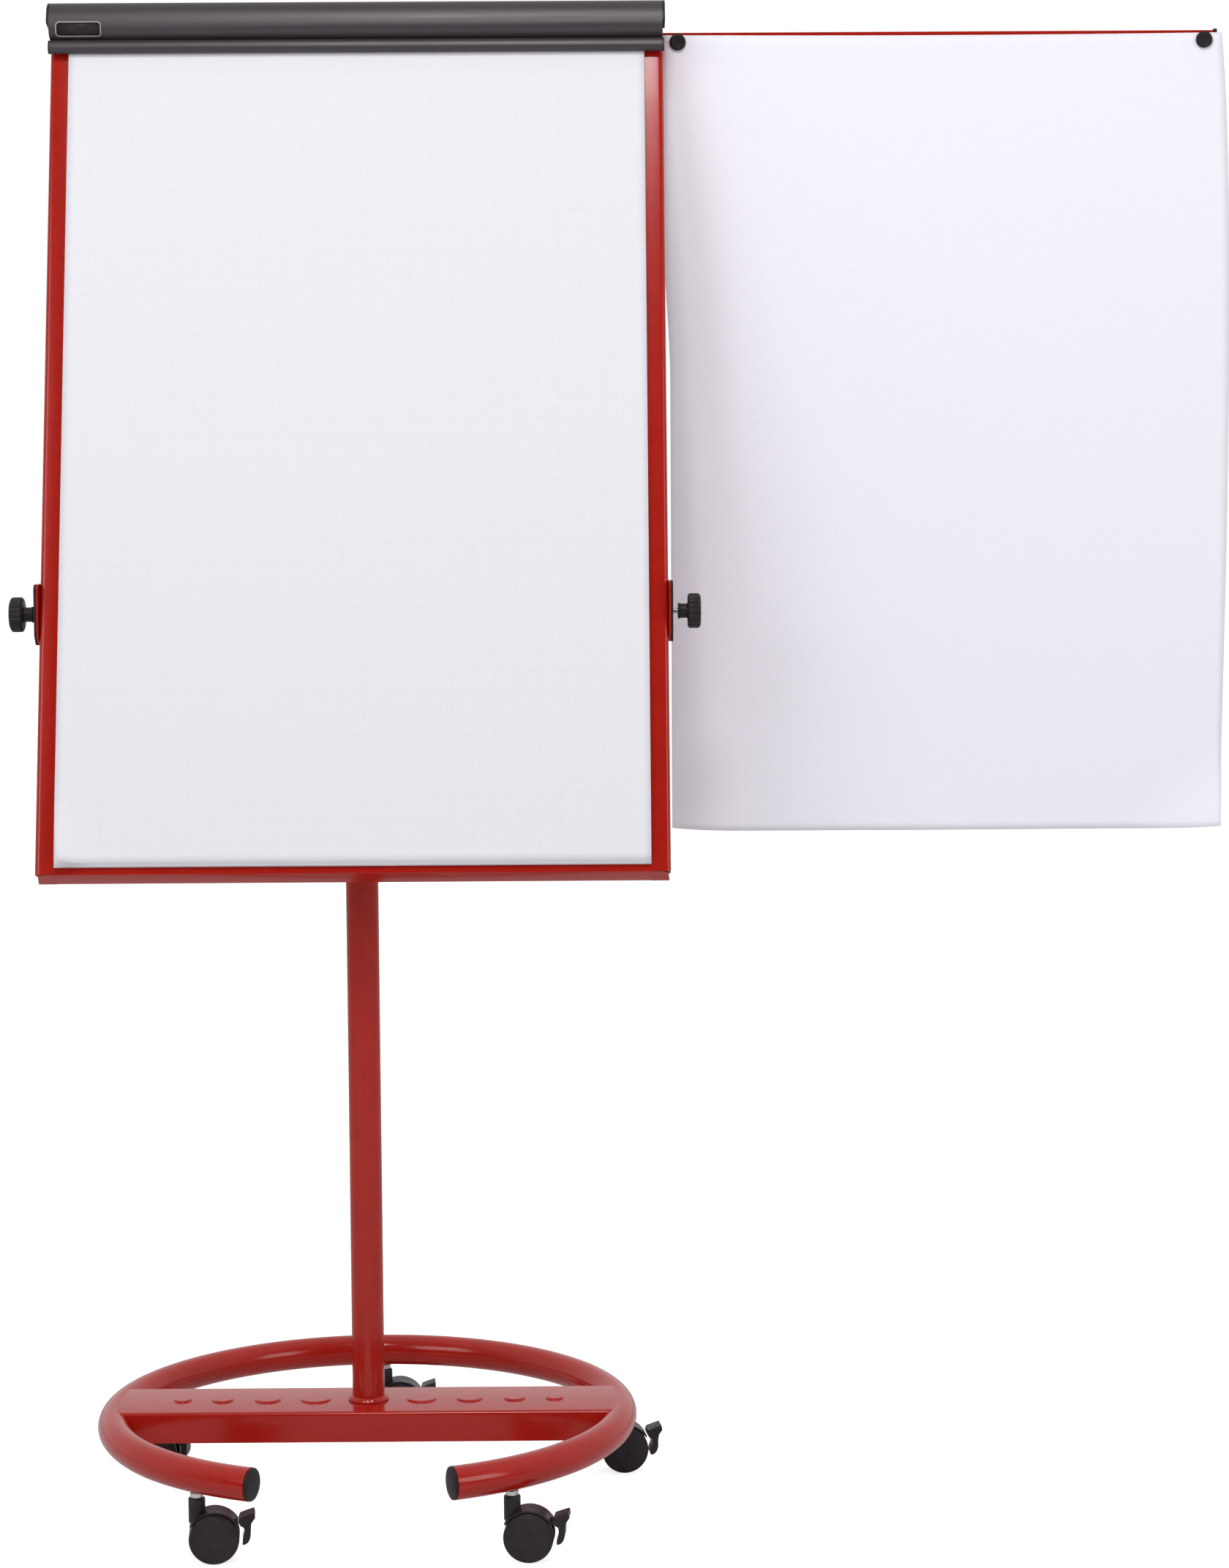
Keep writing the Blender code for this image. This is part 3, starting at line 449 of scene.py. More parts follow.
def solid(points, radius=0.0005, steps=4):
    """A closed profile for lathe: the points between two ends on the axis, with rounded corners."""
    profile = rounded([(0.0, points[0][1], 0.0), *points, (0.0, points[-1][1], 0.0)], radius, steps)
    return [(max(r, 0.0), z) for r, z in profile]


def cut(base, tool, operation="DIFFERENCE"):
    """A boolean of two meshes, as a new mesh."""
    holders = [bpy.data.objects.new("holder", mesh) for mesh in (base, tool)]
    for holder in holders:
        bpy.context.scene.collection.objects.link(holder)
    step = holders[0].modifiers.new("cut", "BOOLEAN")
    step.operation = operation
    step.object = holders[1]
    result = bpy.data.meshes.new_from_object(holders[0].evaluated_get(bpy.context.evaluated_depsgraph_get()))
    for holder in holders:
        bpy.data.objects.remove(holder, do_unlink=True)
    return result


def moved(mesh, matrix):
    mesh.transform(matrix)
    return mesh


def lying_y(mesh, x=0.0, y=0.0, z=0.0):
    """Lay a mesh turned about Z along +Y."""
    return moved(mesh, Matrix.Translation((x, y, z)) @ Matrix.Rotation(-pi / 2, 4, "X"))


def piece(name, mesh, material, body, space=None, stands_for=(), edge=0.0, more=()):
    """Put a mesh in place as a named piece that rides on a CAD body."""
    made = bpy.data.objects.new(name, mesh)
    bpy.context.scene.collection.objects.link(made)
    mesh.materials.clear()
    for item in (material, *more):
        mesh.materials.append(item)
    if space is not None:
        made.matrix_world = space
    mesh.shade_smooth()
    if edge:
        round_edges(made, edge)
    else:
        mesh.set_sharp_from_angle(angle=radians(34.0))
    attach(made, body)
    if stands_for:
        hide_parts(*stands_for)
    return made


def round_edges(made, width):
    bevel = made.modifiers.new("edges", "BEVEL")
    bevel.width = width
    bevel.segments = 3
    bevel.limit_method = "ANGLE"
    bevel.angle_limit = radians(28.0)
    weighted = made.modifiers.new("normals", "WEIGHTED_NORMAL")
    weighted.keep_sharp = True


def refined(node, material, body, edge):
    """The CAD node's own shape with its edges rounded."""
    shape = bmesh.new()
    shape.from_mesh(frame["nodes"][node].data)
    bmesh.ops.remove_doubles(shape, verts=shape.verts, dist=1e-6)
    bmesh.ops.dissolve_limit(shape, angle_limit=radians(1.0), verts=shape.verts, edges=shape.edges)
    mesh = closed(shape)
    return piece(f"{node}_finished", mesh, material, body, None, (node,), edge)


# Base


def ring_tube():
    first, last = RING_HALF_OPENING - pi / 2, 3 * pi / 2 - RING_HALF_OPENING
    steps, sides = 144, 40
    shape = bmesh.new()
    loops = []
    for i in range(steps + 1):
        a = first + (last - first) * i / steps
        loop = []
        for k in range(sides):
            b = 2 * pi * k / sides
            out = RING_RADIUS + TUBE_RADIUS * cos(b)
            loop.append(shape.verts.new((out * cos(a), out * sin(a), RING_HEIGHT + TUBE_RADIUS * sin(b))))
        loops.append(loop)
    for loop, after in zip(loops, loops[1:]):
        bridge(shape, loop, after)
    shape.faces.new(loops[0])
    shape.faces.new(loops[-1])
    piece("ring_tube", closed(shape), RED, "frame", BASE_SPACE, ("base_ring",))
    for side, end in (("left", last), ("right", first)):
        end_plug(side, end)


def end_plug(side, end):
    """A black plug: a short flange and a low dome over the cut end of the tube."""
    rim = TUBE_RADIUS - 0.0002
    profile = [(rim - 0.004, -0.004), (rim - 0.0010, 0.0002), (rim, 0.0008), (rim, 0.0022)]
    profile += [(rim * cos(radians(a)), 0.0022 + 0.0026 * sin(radians(a))) for a in range(12, 90, 11)]
    profile = [(0.0, -0.004), *profile, (0.0, 0.0048)]
    direction = 1.0 if side == "left" else -1.0
    outward = Vector((-sin(end), cos(end), 0.0)) * direction
    spot = Matrix.Translation((RING_RADIUS * cos(end), RING_RADIUS * sin(end), RING_HEIGHT))
    space = BASE_SPACE @ spot @ outward.to_track_quat("Z", "Y").to_matrix().to_4x4()
    piece(f"end_plug_{side}", lathe(profile), BLACK, "frame", space, (f"ring_plug_{side}",))


def channel():
    half, low = CHANNEL_HALF_DEPTH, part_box("base_channel")[0].z
    inner, ceiling = half - CHANNEL_WALL, CHANNEL_TOP - CHANNEL_WALL
    outline = [(-half, low, 0.0006), (-half, CHANNEL_TOP, 0.0045), (half, CHANNEL_TOP, 0.0045)]
    outline += [(half, low, 0.0006), (inner, low, 0.0006), (inner, ceiling, 0.0015)]
    outline += [(-inner, ceiling, 0.0015), (-inner, low, 0.0006)]
    mesh = extruded(rounded(outline, 0.001, 8), -CHANNEL_REACH, CHANNEL_REACH, "x")
    piece("channel_pressing", mesh, RED, "frame", BASE_SPACE, ("base_channel",))
    for index, (offset, radius) in enumerate(DISCS):
        for side, x in (("left", -offset), ("right", offset)):
            foot = CHANNEL_TOP - 0.0010
            top = CHANNEL_TOP + DISC_RISE
            profile = [(radius + 0.0012, foot), (radius + 0.0004, CHANNEL_TOP + 0.0002, 0.0006)]
            profile += [(radius - 0.0012, top, 0.0014), (radius * 0.55, top - 0.0001, 0.0)]
            space = BASE_SPACE @ Matrix.Translation((x, 0.0, 0.0))
            name = f"channel_disc_{side}_{index + 1}"
            piece(name, lathe(solid(profile)), RED, "frame", space)


def mast():
    foot = CHANNEL_TOP
    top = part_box("mast")[1].z
    radius = MAST_RADIUS
    inner = radius - 0.002
    profile = [(radius, foot - 0.001), (radius, top - 0.0006), (radius - 0.0006, top), (inner, top)]
    mesh = lathe([*profile, (inner, foot - 0.001)], 80)
    piece("mast_tube", mesh, RED, "frame", BASE_SPACE, ("mast",))

    def ripple(r, z, a):
        wave = noise.noise(Vector((cos(a) * 2.6, sin(a) * 2.6, z * 260.0)))
        return r + 0.00045 * wave + 0.00018 * sin(38 * a)

    bead = [(radius - 0.002, foot - 0.001), (radius + 0.0050, foot - 0.0002)]
    bead += [(radius + 0.0046, foot + 0.0022), (radius + 0.0030, foot + 0.0044)]
    bead += [(radius + 0.0012, foot + 0.0060), (radius - 0.002, foot + 0.0064)]
    weld = lathe(rounded(bead, 0.0012, 4), 160, ripple)
    piece("mast_weld", weld, RED, "frame", BASE_SPACE)
    cap = [(inner - 0.0004, top - 0.010), (inner - 0.0004, top), (radius, top + 0.0001)]
    cap += [(radius, top + 0.0014, 0.001), (radius * 0.6, top + 0.0028, 0.004)]
    piece("mast_cap", lathe(solid(cap, 0.0003)), BLACK, "frame", BASE_SPACE)


# Yoke and knobs


def yoke():
    refined("yoke", RED, "frame", 0.0007)
    for side in ("left", "right"):
        refined(f"yoke_plate_{side}", BLACK, "frame", 0.0006)
        refined(f"slide_nut_{side}", ZINC, "slide_nuts", 0.0005)
        knob(side)


def knob(side):
    """A moulded hand knob, fluted round its rim, on a threaded screw."""
    low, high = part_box(f"knob_{side}")
    centre = (low + high) / 2
    way = -1.0 if side == "left" else 1.0
    start = low.x if way > 0 else high.x
    length = high.x - low.x
    radius = (high.z - low.z) / 2
    neck, neck_length = 0.0084, 0.0113
    turn = Matrix.Rotation(way * pi / 2, 4, "Y")
    space = Matrix.Translation((start, centre.y, centre.z)) @ turn

    def fluted(r, z, a):
        inside = z > neck_length + 0.0014 and r > radius * 0.9
        return r - 0.0011 * (0.5 + 0.5 * cos(18 * a)) ** 3 if inside else r

    points = [(neck + 0.0008, 0.0), (neck + 0.0008, 0.0018), (neck, 0.0026), (neck, neck_length, 0.0018)]
    points += [(radius - 0.0022, neck_length, 0.0012), (radius, neck_length + 0.0018)]
    points += [(radius, length - 0.0036, 0.0)]
    points += [(radius - 0.0008, length - 0.0018), (radius - 0.0038, length - 0.0002, 0.0015)]
    points += [(radius * 0.55, length - 0.0006), (radius * 0.50, length - 0.0012)]
    mesh = lathe(solid(points, 0.0006), 216, fluted)
    piece(f"hand_knob_{side}", mesh, BLACK, f"knob_{side}", space, (f"knob_{side}",))
    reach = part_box(f"knob_screw_{side}")
    first = (reach[1].x - start) * way if way < 0 else (reach[0].x - start) * way
    pitch, outer, root = 0.001, 0.0030, 0.0025
    count = int((0.0060 - first) / pitch)
    thread = [(root, first)]
    for i in range(count):
        thread += [(root, first + pitch * (i + 0.1)), (outer, first + pitch * (i + 0.45))]
        thread += [(outer, first + pitch * (i + 0.6)), (root, first + pitch * (i + 0.95))]
    mesh = lathe([(0.0, first), *thread, (root, 0.006), (0.0, 0.006)], 32)
    piece(f"knob_thread_{side}", mesh, ZINC, f"knob_{side}", space, (f"knob_screw_{side}",))


# Board


def side_rail(side):
    """A folded red rail with a round outer edge and the long slot that the slide nut runs in."""
    way = -1.0 if side == "left" else 1.0
    outer, inner = BOARD_HALF_WIDTH, BOARD_HALF_WIDTH - RAIL_WIDTH
    wall = RAIL_WALL
    face = [(inner, 0.0, 0.0006), (outer, 0.0, 0.0055)]
    face += [(outer, BOARD_DEPTH, 0.0028), (inner, BOARD_DEPTH, 0.0006)]
    hollow = [(inner + wall, wall, 0.0003), (outer - wall, wall, 0.0040)]
    hollow += [(outer - wall, BOARD_DEPTH - wall, 0.0013), (inner + wall, BOARD_DEPTH - wall, 0.0003)]
    low = BOTTOM_EDGE + 0.0003
    body = extruded([(way * a, b) for a, b in rounded(face, 0.001, 10)], low, BOARD_LENGTH, "z")
    bore = [(way * a, b) for a, b in rounded(hollow, 0.001, 8)]
    space_in = extruded(bore, low - 0.01, BOARD_LENGTH + 0.01, "z")
    body = cut(body, space_in)
    slot_low, slot_high, width = SLOT
    middle_depth = BOARD_DEPTH / 2
    ends = [(middle_depth - width / 2, slot_low), (middle_depth + width / 2, slot_low)]
    ends += [(middle_depth + width / 2, slot_high), (middle_depth - width / 2, slot_high)]
    walls = sorted((way * (outer - 0.006), way * (outer + 0.006)))
    body = cut(body, extruded(rounded(ends, width / 2, 8), walls[0], walls[1], "x"))
    node = f"board_rail_{side}"
    piece(f"side_rail_{side}", body, RED, "board", BOARD_SPACE, (node,))


def bottom_rail():
    """The bottom rail: a narrow front face and, under it, a bevel whose ends are mitred."""
    reach = BOARD_HALF_WIDTH - RAIL_WIDTH
    wall = RAIL_WALL
    drop = BOTTOM_EDGE - BEVEL_DROP
    back = BOARD_DEPTH
    face = [(0.0, RAIL_WIDTH, 0.0003), (0.0, BOTTOM_EDGE, 0.0012)]
    face += [(back, drop, 0.0012), (back, RAIL_WIDTH, 0.0004)]
    face += [(back - wall, RAIL_WIDTH, 0.0003), (back - wall, drop + 2 * wall), (wall, BOTTOM_EDGE + wall)]
    face += [(wall, RAIL_WIDTH, 0.0003)]
    mesh = extruded(rounded(face, 0.0006, 6), -reach, reach, "x")
    piece("bottom_rail", mesh, RED, "board", BOARD_SPACE, ("board_rail_bottom",))
    for side, way in (("left", -1.0), ("right", 1.0)):
        bevel_end(side, way)


def bevel_end(side, way):
    """The bevel's end under a side rail, cut back along its mitre."""
    inner = BOARD_HALF_WIDTH - RAIL_WIDTH - 0.0004
    shape = bmesh.new()
    drop = BOTTOM_EDGE - BEVEL_DROP
    depth = BOARD_DEPTH - 0.001
    ends = ((0.0, BOTTOM_EDGE, MITRE_START), (depth, drop, MITRE_END), (depth, drop + 0.0026, MITRE_END))
    ends += ((0.006, BOTTOM_EDGE, 0.3600),)
    near = [shape.verts.new((way * inner, y, z)) for y, z, _ in ends]
    far = [shape.verts.new((way * x, y, z)) for y, z, x in ends]
    shape.faces.new(near)
    shape.faces.new(far[::-1])
    for i in range(len(ends)):
        j = (i + 1) % len(ends)
        shape.faces.new((near[i], far[i], far[j], near[j]))
    piece(f"bevel_end_{side}", closed(shape), RED, "board", BOARD_SPACE, edge=0.0007)


def board():
    for side in ("left", "right"):
        side_rail(side)
    bottom_rail()
    refined("board_rail_top", RED, "board", 0.0004)
    refined("board_panel", ENAMEL, "board", 0.0004)
    for side in ("left", "right"):
        low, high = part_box(f"pad_pin_{side}")
        x = (low.x + high.x) / 2 - MAST.x
        points = [(0.0030, 0.0), (0.0030, 0.0046), (0.0022, 0.0054, 0.0006)]
        turn = Matrix.Translation((x, 0.0, PIN_HEIGHT)) @ Matrix.Rotation(pi / 2, 4, "X")
        pin = moved(lathe(solid(points), 40), turn)
        piece(f"hanging_pin_{side}", pin, ZINC, "board", BOARD_SPACE, (f"pad_pin_{side}",))


# Clamp bar: outlines are (out of the board's face, height up the board)

HOOD_FRONT = [
    (-0.0006, 1.0424),
    (0.0060, 1.0430),
    (0.0120, 1.0419),
    (0.0180, 1.0380),
    (0.0224, 1.0310),
    (0.0243, 1.0225),
    (0.0245, 1.0140),
    (0.0237, 1.0070),
    (0.0212, 1.0020),
    (0.0160, 0.9988),
    (0.0094, 0.9972),
]
LIP_FRONT = [
    (0.0098, 0.9966),
    (0.0130, 0.9952),
    (0.0148, 0.9920),
    (0.0153, 0.9880),
    (0.0148, 0.9845),
    (0.0128, 0.9815),
    (0.0095, 0.9805),
    (0.0075, 0.9807),
]
HOOD_BACK = [
    (0.0064, 0.9830),
    (0.0064, 0.9980),
    (0.0120, 1.0010),
    (0.0180, 1.0035),
    (0.0213, 1.0080),
    (0.0221, 1.0150),
    (0.0218, 1.0220),
    (0.0200, 1.0300),
    (0.0160, 1.0360),
    (0.0110, 1.0395),
    (0.0055, 1.0405),
    (0.0008, 1.0400),
    (-0.0010, 1.0385),
]


def outward(points):
    """Turn (out, height) into board-space (y, z)."""
    return [(-out, height) for out, height in points]


def clamp():
    end = CLAMP_HALF_WIDTH - CLAMP_CAP_THICKNESS
    front = flowing(HOOD_FRONT)
    lip = flowing(LIP_FRONT)
    outline = outward([*front, *lip, *flowing(HOOD_BACK)])
    bar = extruded(outline, -end, end, "x")
    piece("clamp_profile", bar, ANTHRACITE, "clamp", BOARD_SPACE, ("clamp_bar",))
    upper = [point for point in front if point[1] > 1.0115]
    for side, way in (("left", -1.0), ("right", 1.0)):
        low, high = sorted((way * end, way * CLAMP_HALF_WIDTH))
        cap = extruded(outward([*upper, (0.0005, 1.0115), (-0.0008, 1.0385)]), low, high, "x")
        node = f"clamp_end_cap_{side}"
        piece(f"hood_cap_{side}", cap, BLACK, "clamp", BOARD_SPACE, (node,), 0.0008)
        low, high = sorted((way * (end - 0.0005), way * (CLAMP_HALF_WIDTH - 0.0013)))
        cap = extruded(outward([*lip, (0.0068, 0.9835), (0.0068, 0.9950)]), low, high, "x")
        piece(f"lip_cap_{side}", cap, BLACK, "clamp", BOARD_SPACE, (), 0.0007)
    strip = outward([(0.0062, 0.9822), (0.0078, 0.9812), (0.0078, 0.9900), (0.0062, 0.9890)])
    grip = extruded(rounded(strip, 0.0005, 3), -end + 0.004, end - 0.004, "x")
    piece("grip_strip", grip, BLACK, "clamp", BOARD_SPACE)
    refined("clamp_hinge_rod", ZINC, "board", 0.0003)
    blank_plate(front)


PLATE_WIDTH, PLATE_LENGTH, PLATE_CORNER = 0.0540, 0.0190, 0.0050
PLATE_LEFT, PLATE_FOOT = -0.3535, 0.9985


def plate_rows(inset):
    """Left end, right end and climb of each row of a rounded rectangle."""
    corner = PLATE_CORNER - inset
    rows, count = [], 24
    for i in range(count + 1):
        climb = inset + (PLATE_LENGTH - 2 * inset) * (1 - cos(pi * i / count)) / 2
        near = min(climb, PLATE_LENGTH - climb) - inset
        gap = max(0.0, corner - near)
        short = inset + corner - sqrt(max(0.0, corner**2 - gap**2))
        rows.append((PLATE_LEFT + short, PLATE_LEFT + PLATE_WIDTH - short, climb))
    return rows


def along_hood(front, climb):
    """The point of the hood's front that lies a distance above the plate's foot."""
    points = [Vector(point) for point in reversed(front) if point[1] >= PLATE_FOOT]
    for first, second in zip(points, points[1:]):
        step = (second - first).length
        if climb <= step:
            return first.lerp(second, climb / step)
        climb -= step
    return points[-1]


def blank_plate(front):
    """A small plain plate with a raised rim, bent to the hood's front."""
    shape = bmesh.new()

    def verts(rows, rise):
        placed = []
        for left, right, climb in rows:
            out, height = along_hood(front, climb)
            placed.append([shape.verts.new((x, -out - rise, height)) for x in (left, right)])
        return placed

    outer, inner = verts(plate_rows(0.0), 0.0004), verts(plate_rows(0.0013), 0.0004)
    for side in (0, 1):
        for i in range(len(outer) - 1):
            shape.faces.new((outer[i][side], inner[i][side], inner[i + 1][side], outer[i + 1][side]))
    for end in (0, -1):
        shape.faces.new((outer[end][0], outer[end][1], inner[end][1], inner[end][0]))
    rim = piece("plate_rim", closed(shape), PLATE_RIM, "clamp", BOARD_SPACE)
    shape = bmesh.new()
    rows = verts(plate_rows(0.0008), 0.0002)
    for low, high in zip(rows, rows[1:]):
        shape.faces.new((low[0], low[1], high[1], high[0]))
    face = piece("plate_face", closed(shape), BLACK, "clamp", BOARD_SPACE)
    for made, thickness in ((rim, 0.0008), (face, 0.0004)):
        thick = made.modifiers.new("thick", "SOLIDIFY")
        thick.thickness = thickness
        thick.offset = 0.0


# Paper


def curved_sheet(name, columns, rows, shape_of, material, body, space, thickness):
    """A sheet whose points come from shape_of(across 0..1, up 0..1)."""
    shape = bmesh.new()
    grid = []
    for row in range(rows + 1):
        line = [shape.verts.new(shape_of(column / columns, row / rows)) for column in range(columns + 1)]
        grid.append(line)
    for line, after in zip(grid, grid[1:]):
        for i in range(columns):
            shape.faces.new((line[i], line[i + 1], after[i + 1], after[i]))
    mesh = bpy.data.meshes.new(name)
    shape.to_mesh(mesh)
    shape.free()
    made = piece(name, mesh, material, body, space)
    thick = made.modifiers.new("thick", "SOLIDIFY")
    thick.thickness = thickness
    thick.offset = 0.0
    return made


def curl(distance, radius):
    """Height of a strip that bends up with a radius, and how far its end draws back."""
    angle = min(distance / radius, 1.4)
    return radius * (1 - cos(angle)), distance - radius * sin(angle)


def pad():
    half = PAPER_WIDTH / 2
    back, page = -0.0004, -0.0046
    low, high = (-half + 0.0002, back), (half - 0.0002, page + 0.0006)
    outline = [(low[0], high[1]), (high[0], high[1]), (high[0], low[1]), (low[0], low[1])]
    stack = extruded(rounded(outline, 0.0002, 2), PAD_BOTTOM - 0.0004, PAD_BOTTOM + PAD_LENGTH, "z")
    piece("pad_stack", stack, EDGES, "board", BOARD_SPACE, ("paper_pad",))
    pages = (("pad_second_page", 0.0, 0.6), ("pad_top_page", -0.0004, 1.0))
    for name, lift, lively in pages:
        def page_point(s, t, lift=lift, lively=lively):
            x = -half + PAPER_WIDTH * s
            z = PAD_BOTTOM + PAD_LENGTH * t + (0.0 if lively < 1.0 else 0.0030 * (1 - t))
            y = page + lift - 0.0007 * lively * (1 - t) * (0.5 + 0.5 * sin(5.0 * s + 2.0 * t))
            corner = max(0.0, 0.050 - (0.9 * (x + half) + 0.45 * (z - PAD_BOTTOM)))
            rise, draw = curl(corner * lively, 0.046)
            return x + draw * 0.85, y - rise * 0.8, z + draw * 0.25

        made = curved_sheet(name, 68, 99, page_point, PAGE, "board", BOARD_SPACE, 0.00012)


def loose_sheet():
    low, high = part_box("hanging_sheet")
    face = low.y

    def sheet_point(s, t):
        down = 1 - t
        x = low.x + 0.0012 + PAPER_WIDTH * s
        z = high.z - SHEET_LENGTH * down
        slack = min(1.0, max(0.0, down - EDGE_BEND_START) / EDGE_BEND_SPAN)
        radius = EDGE_STRIP / (0.0002 + EDGE_BEND * slack * slack * (3 - 2 * slack))
        bent = max(0.0, EDGE_STRIP - PAPER_WIDTH * s) / radius
        drawn, back = radius * (bent - sin(bent)), radius * (1 - cos(bent))
        pull = 0.0078 * exp(-((1 - s) ** 2) / 0.02) * (t**10)
        belly = 0.0050 * sin(pi * min(1.0, down * 1.1)) * s**6
        sag = -0.0016 * sin(pi * s) * t**6
        wave = 0.006 * down * sin(2.2 * s + 0.4) ** 2
        corner = max(0.0, 0.075 - (0.62 * (1 - s) * PAPER_WIDTH + 0.62 * t * SHEET_LENGTH))
        rise, draw = curl(corner, 0.090)
        y = face - 0.0003 - wave - rise + back
        return x - pull + belly + drawn - draw * 0.6, y, z + sag + draw * 0.6

    made = curved_sheet("loose_sheet", 68, 96, sheet_point, LOOSE, "arm_right", None, 0.00014)
    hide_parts("hanging_sheet")


# Side arms and magnets


def side_arms():
    for side in ("left", "right"):
        refined(f"side_arm_{side}", RED, f"arm_{side}", 0.0005)
        refined(f"arm_end_cap_{side}", BLACK, f"arm_{side}", 0.0007)
        refined(f"arm_bracket_{side}", RED, "board", 0.0005)
    for place in ("inner", "outer"):
        low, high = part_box(f"magnet_{place}")
        centre = (low + high) / 2
        radius = (high.z - low.z) / 2
        thick = high.y - low.y
        points = [(radius - 0.0003, 0.0), (radius, 0.0004), (radius, thick - 0.0016, 0.0004)]
        points += [(radius - 0.0014, thick - 0.0002, 0.0004), (radius * 0.62, thick)]
        points += [(radius * 0.55, thick - 0.0003)]
        space = Matrix.Translation((centre.x, high.y, centre.z)) @ Matrix.Rotation(pi / 2, 4, "X")
        mesh = lathe(solid(points, 0.0003), 72)
        node = f"magnet_{place}"
        piece(f"round_magnet_{place}", mesh, BLACK, node, space, (node,))


# Casters: drawn with the swivel axis at x = 0 and the wheels trailing towards +X


def hood_mesh():
    centre = (TRAIL, WHEEL_RADIUS)
    outline = circle_arc(centre, HOOD_RADIUS, 31, 150, 40)
    outline += [(TRAIL - 0.007, WHEEL_RADIUS - 0.008), (TRAIL + 0.007, WHEEL_RADIUS - 0.008)]
    body = extruded(outline, -HOOD_HALF_WIDTH, HOOD_HALF_WIDTH, "y")
    neck = lathe(solid([(0.0095, 0.046), (0.0095, 0.0726, 0.0), (0.0086, 0.0742, 0.0008)]), 48)
    body = cut(body, neck, "UNION")
    for low, high in ((-0.030, -0.0030), (0.0030, 0.030)):
        reach = WHEEL_RADIUS + 0.0010
        well = lathe([(0.0, low), (reach, low), (reach, high), (0.0, high)], 96)
        body = cut(body, lying_y(well, TRAIL, 0.0, WHEEL_RADIUS))
    end, radius = AXLE_HALF_LENGTH, AXLE_RADIUS
    axle = lathe([(0.0, -end), (radius, -end), (radius, end), (0.0, end)], 24)
    return cut(body, lying_y(axle, TRAIL, 0.0, WHEEL_RADIUS), "UNION")


def caster_wheel_mesh():
    """A twin caster's wheel: a tread, a smooth outer disc with a fine ring, and a ribless inner face."""
    inner, outer = WHEEL_INNER_FACE, WHEEL_OUTER_FACE
    r = WHEEL_RADIUS
    points = [(0.0033, inner), (r - 0.0030, inner), (r, inner + 0.0026, 0.0012)]
    points += [(r, outer - 0.0040, 0.0015), (r - 0.0012, outer - 0.0014, 0.0010)]
    points += [(r - 0.0030, outer - 0.0009), (r - 0.0034, outer - 0.0013), (r - 0.0040, outer - 0.0007)]
    points += [(r * 0.55, outer - 0.0001, 0.006), (0.0058, outer), (0.0052, outer - 0.0006)]
    mesh = lathe(solid(points, 0.0004), 96)
    for face in mesh.polygons:
        across = Vector(face.center[:2]).length
        face.material_index = 1 if across > r - 0.0008 else 0
    return mesh


def lever_shape():
    outer = [(0.0464, 0.0472), (0.0480, 0.0516), (0.0560, 0.0544), (0.0643, 0.0570), (0.0654, 0.0510)]
    outer += [(0.0612, 0.0452), (0.0602, 0.0380), (0.0600, 0.0300), (0.0578, 0.0240), (0.0540, 0.0207)]
    inner = [(0.0506, 0.0206), (0.0512, 0.0270), (0.0528, 0.0312), (0.0532, 0.0360), (0.0522, 0.0402)]
    inner += [(0.0492, 0.0420), (0.0464, 0.0462)]
    outline = outer[:5] + flowing(outer[5:], 5) + flowing(inner, 4)
    return extruded(outline, -LEVER_HALF_WIDTH, LEVER_HALF_WIDTH, "y")


def grip_ribs():
    """Three low ribs on the lever's tread."""
    shape = bmesh.new()
    section = [(-0.0008, -0.0008), (0.0008, -0.0008), (0.0008, 0.0005), (-0.0008, 0.0005)]
    for x, z in ((0.0530, 0.0534), (0.0575, 0.0549), (0.0618, 0.0563)):
        turn = Matrix.Translation((x, 0.0, z)) @ Matrix.Rotation(radians(TREAD_TILT), 4, "Y")
        bar = extruded(rounded(section, 0.0004, 3), -0.0095, 0.0095, "y")
        shape.from_mesh(moved(bar, turn))
    return closed(shape)


def casters():
    hood, wheel, lever, ribs = hood_mesh(), caster_wheel_mesh(), lever_shape(), grip_ribs()
    collar_low, collar_high = 0.0745, RING_HEIGHT - TUBE_RADIUS + 0.0002
    stem_points = [(0.0040, 0.0640), (0.0040, collar_low, 0.0), (0.0073, collar_low)]
    stem_points += [(0.0073, collar_high - 0.0006), (0.0062, collar_high + 0.0008)]
    stem_points += [(0.0040, collar_high + 0.0008), (0.0040, RING_HEIGHT - 0.006)]
    stem = lathe(solid(stem_points, 0.0005), 40)
    for place in CASTERS:
        swivel = JOINTS[f"caster_swivel_{place}"]
        axle = Vector(JOINTS[f"wheel_spin_front_{place}"]["axis"])
        x, y = swivel["pos_m"][:2]
        yaw = atan2(-axle.x, axle.y)
        space = Matrix.Translation((x, y, 0.0)) @ Matrix.Rotation(yaw, 4, "Z")
        plain = Matrix.Translation((x, y, 0.0))
        piece(f"stem_{place}", stem.copy(), ZINC, "frame", plain, (f"caster_stem_{place}",))
        body = f"caster_{place}"
        node = f"caster_housing_{place}"
        piece(f"hood_{place}", hood.copy(), CASTER, body, space, (node,), 0.0006)
        for face, turn in (("back", -pi / 2), ("front", pi / 2)):
            node = f"caster_wheel_{face}_{place}"
            spot = space @ Matrix.Translation((TRAIL, 0.0, WHEEL_RADIUS)) @ Matrix.Rotation(turn, 4, "X")
            name = f"wheel_{face}_{place}"
            piece(name, wheel.copy(), CASTER, node, spot, (node,), more=(TYRE,))
        node = f"caster_lever_{place}"
        piece(f"lever_{place}", lever.copy(), CASTER, node, space, (node,), 0.0009)
        piece(f"lever_ribs_{place}", ribs.copy(), CASTER, node, space, ())


# Stage, lights and camera


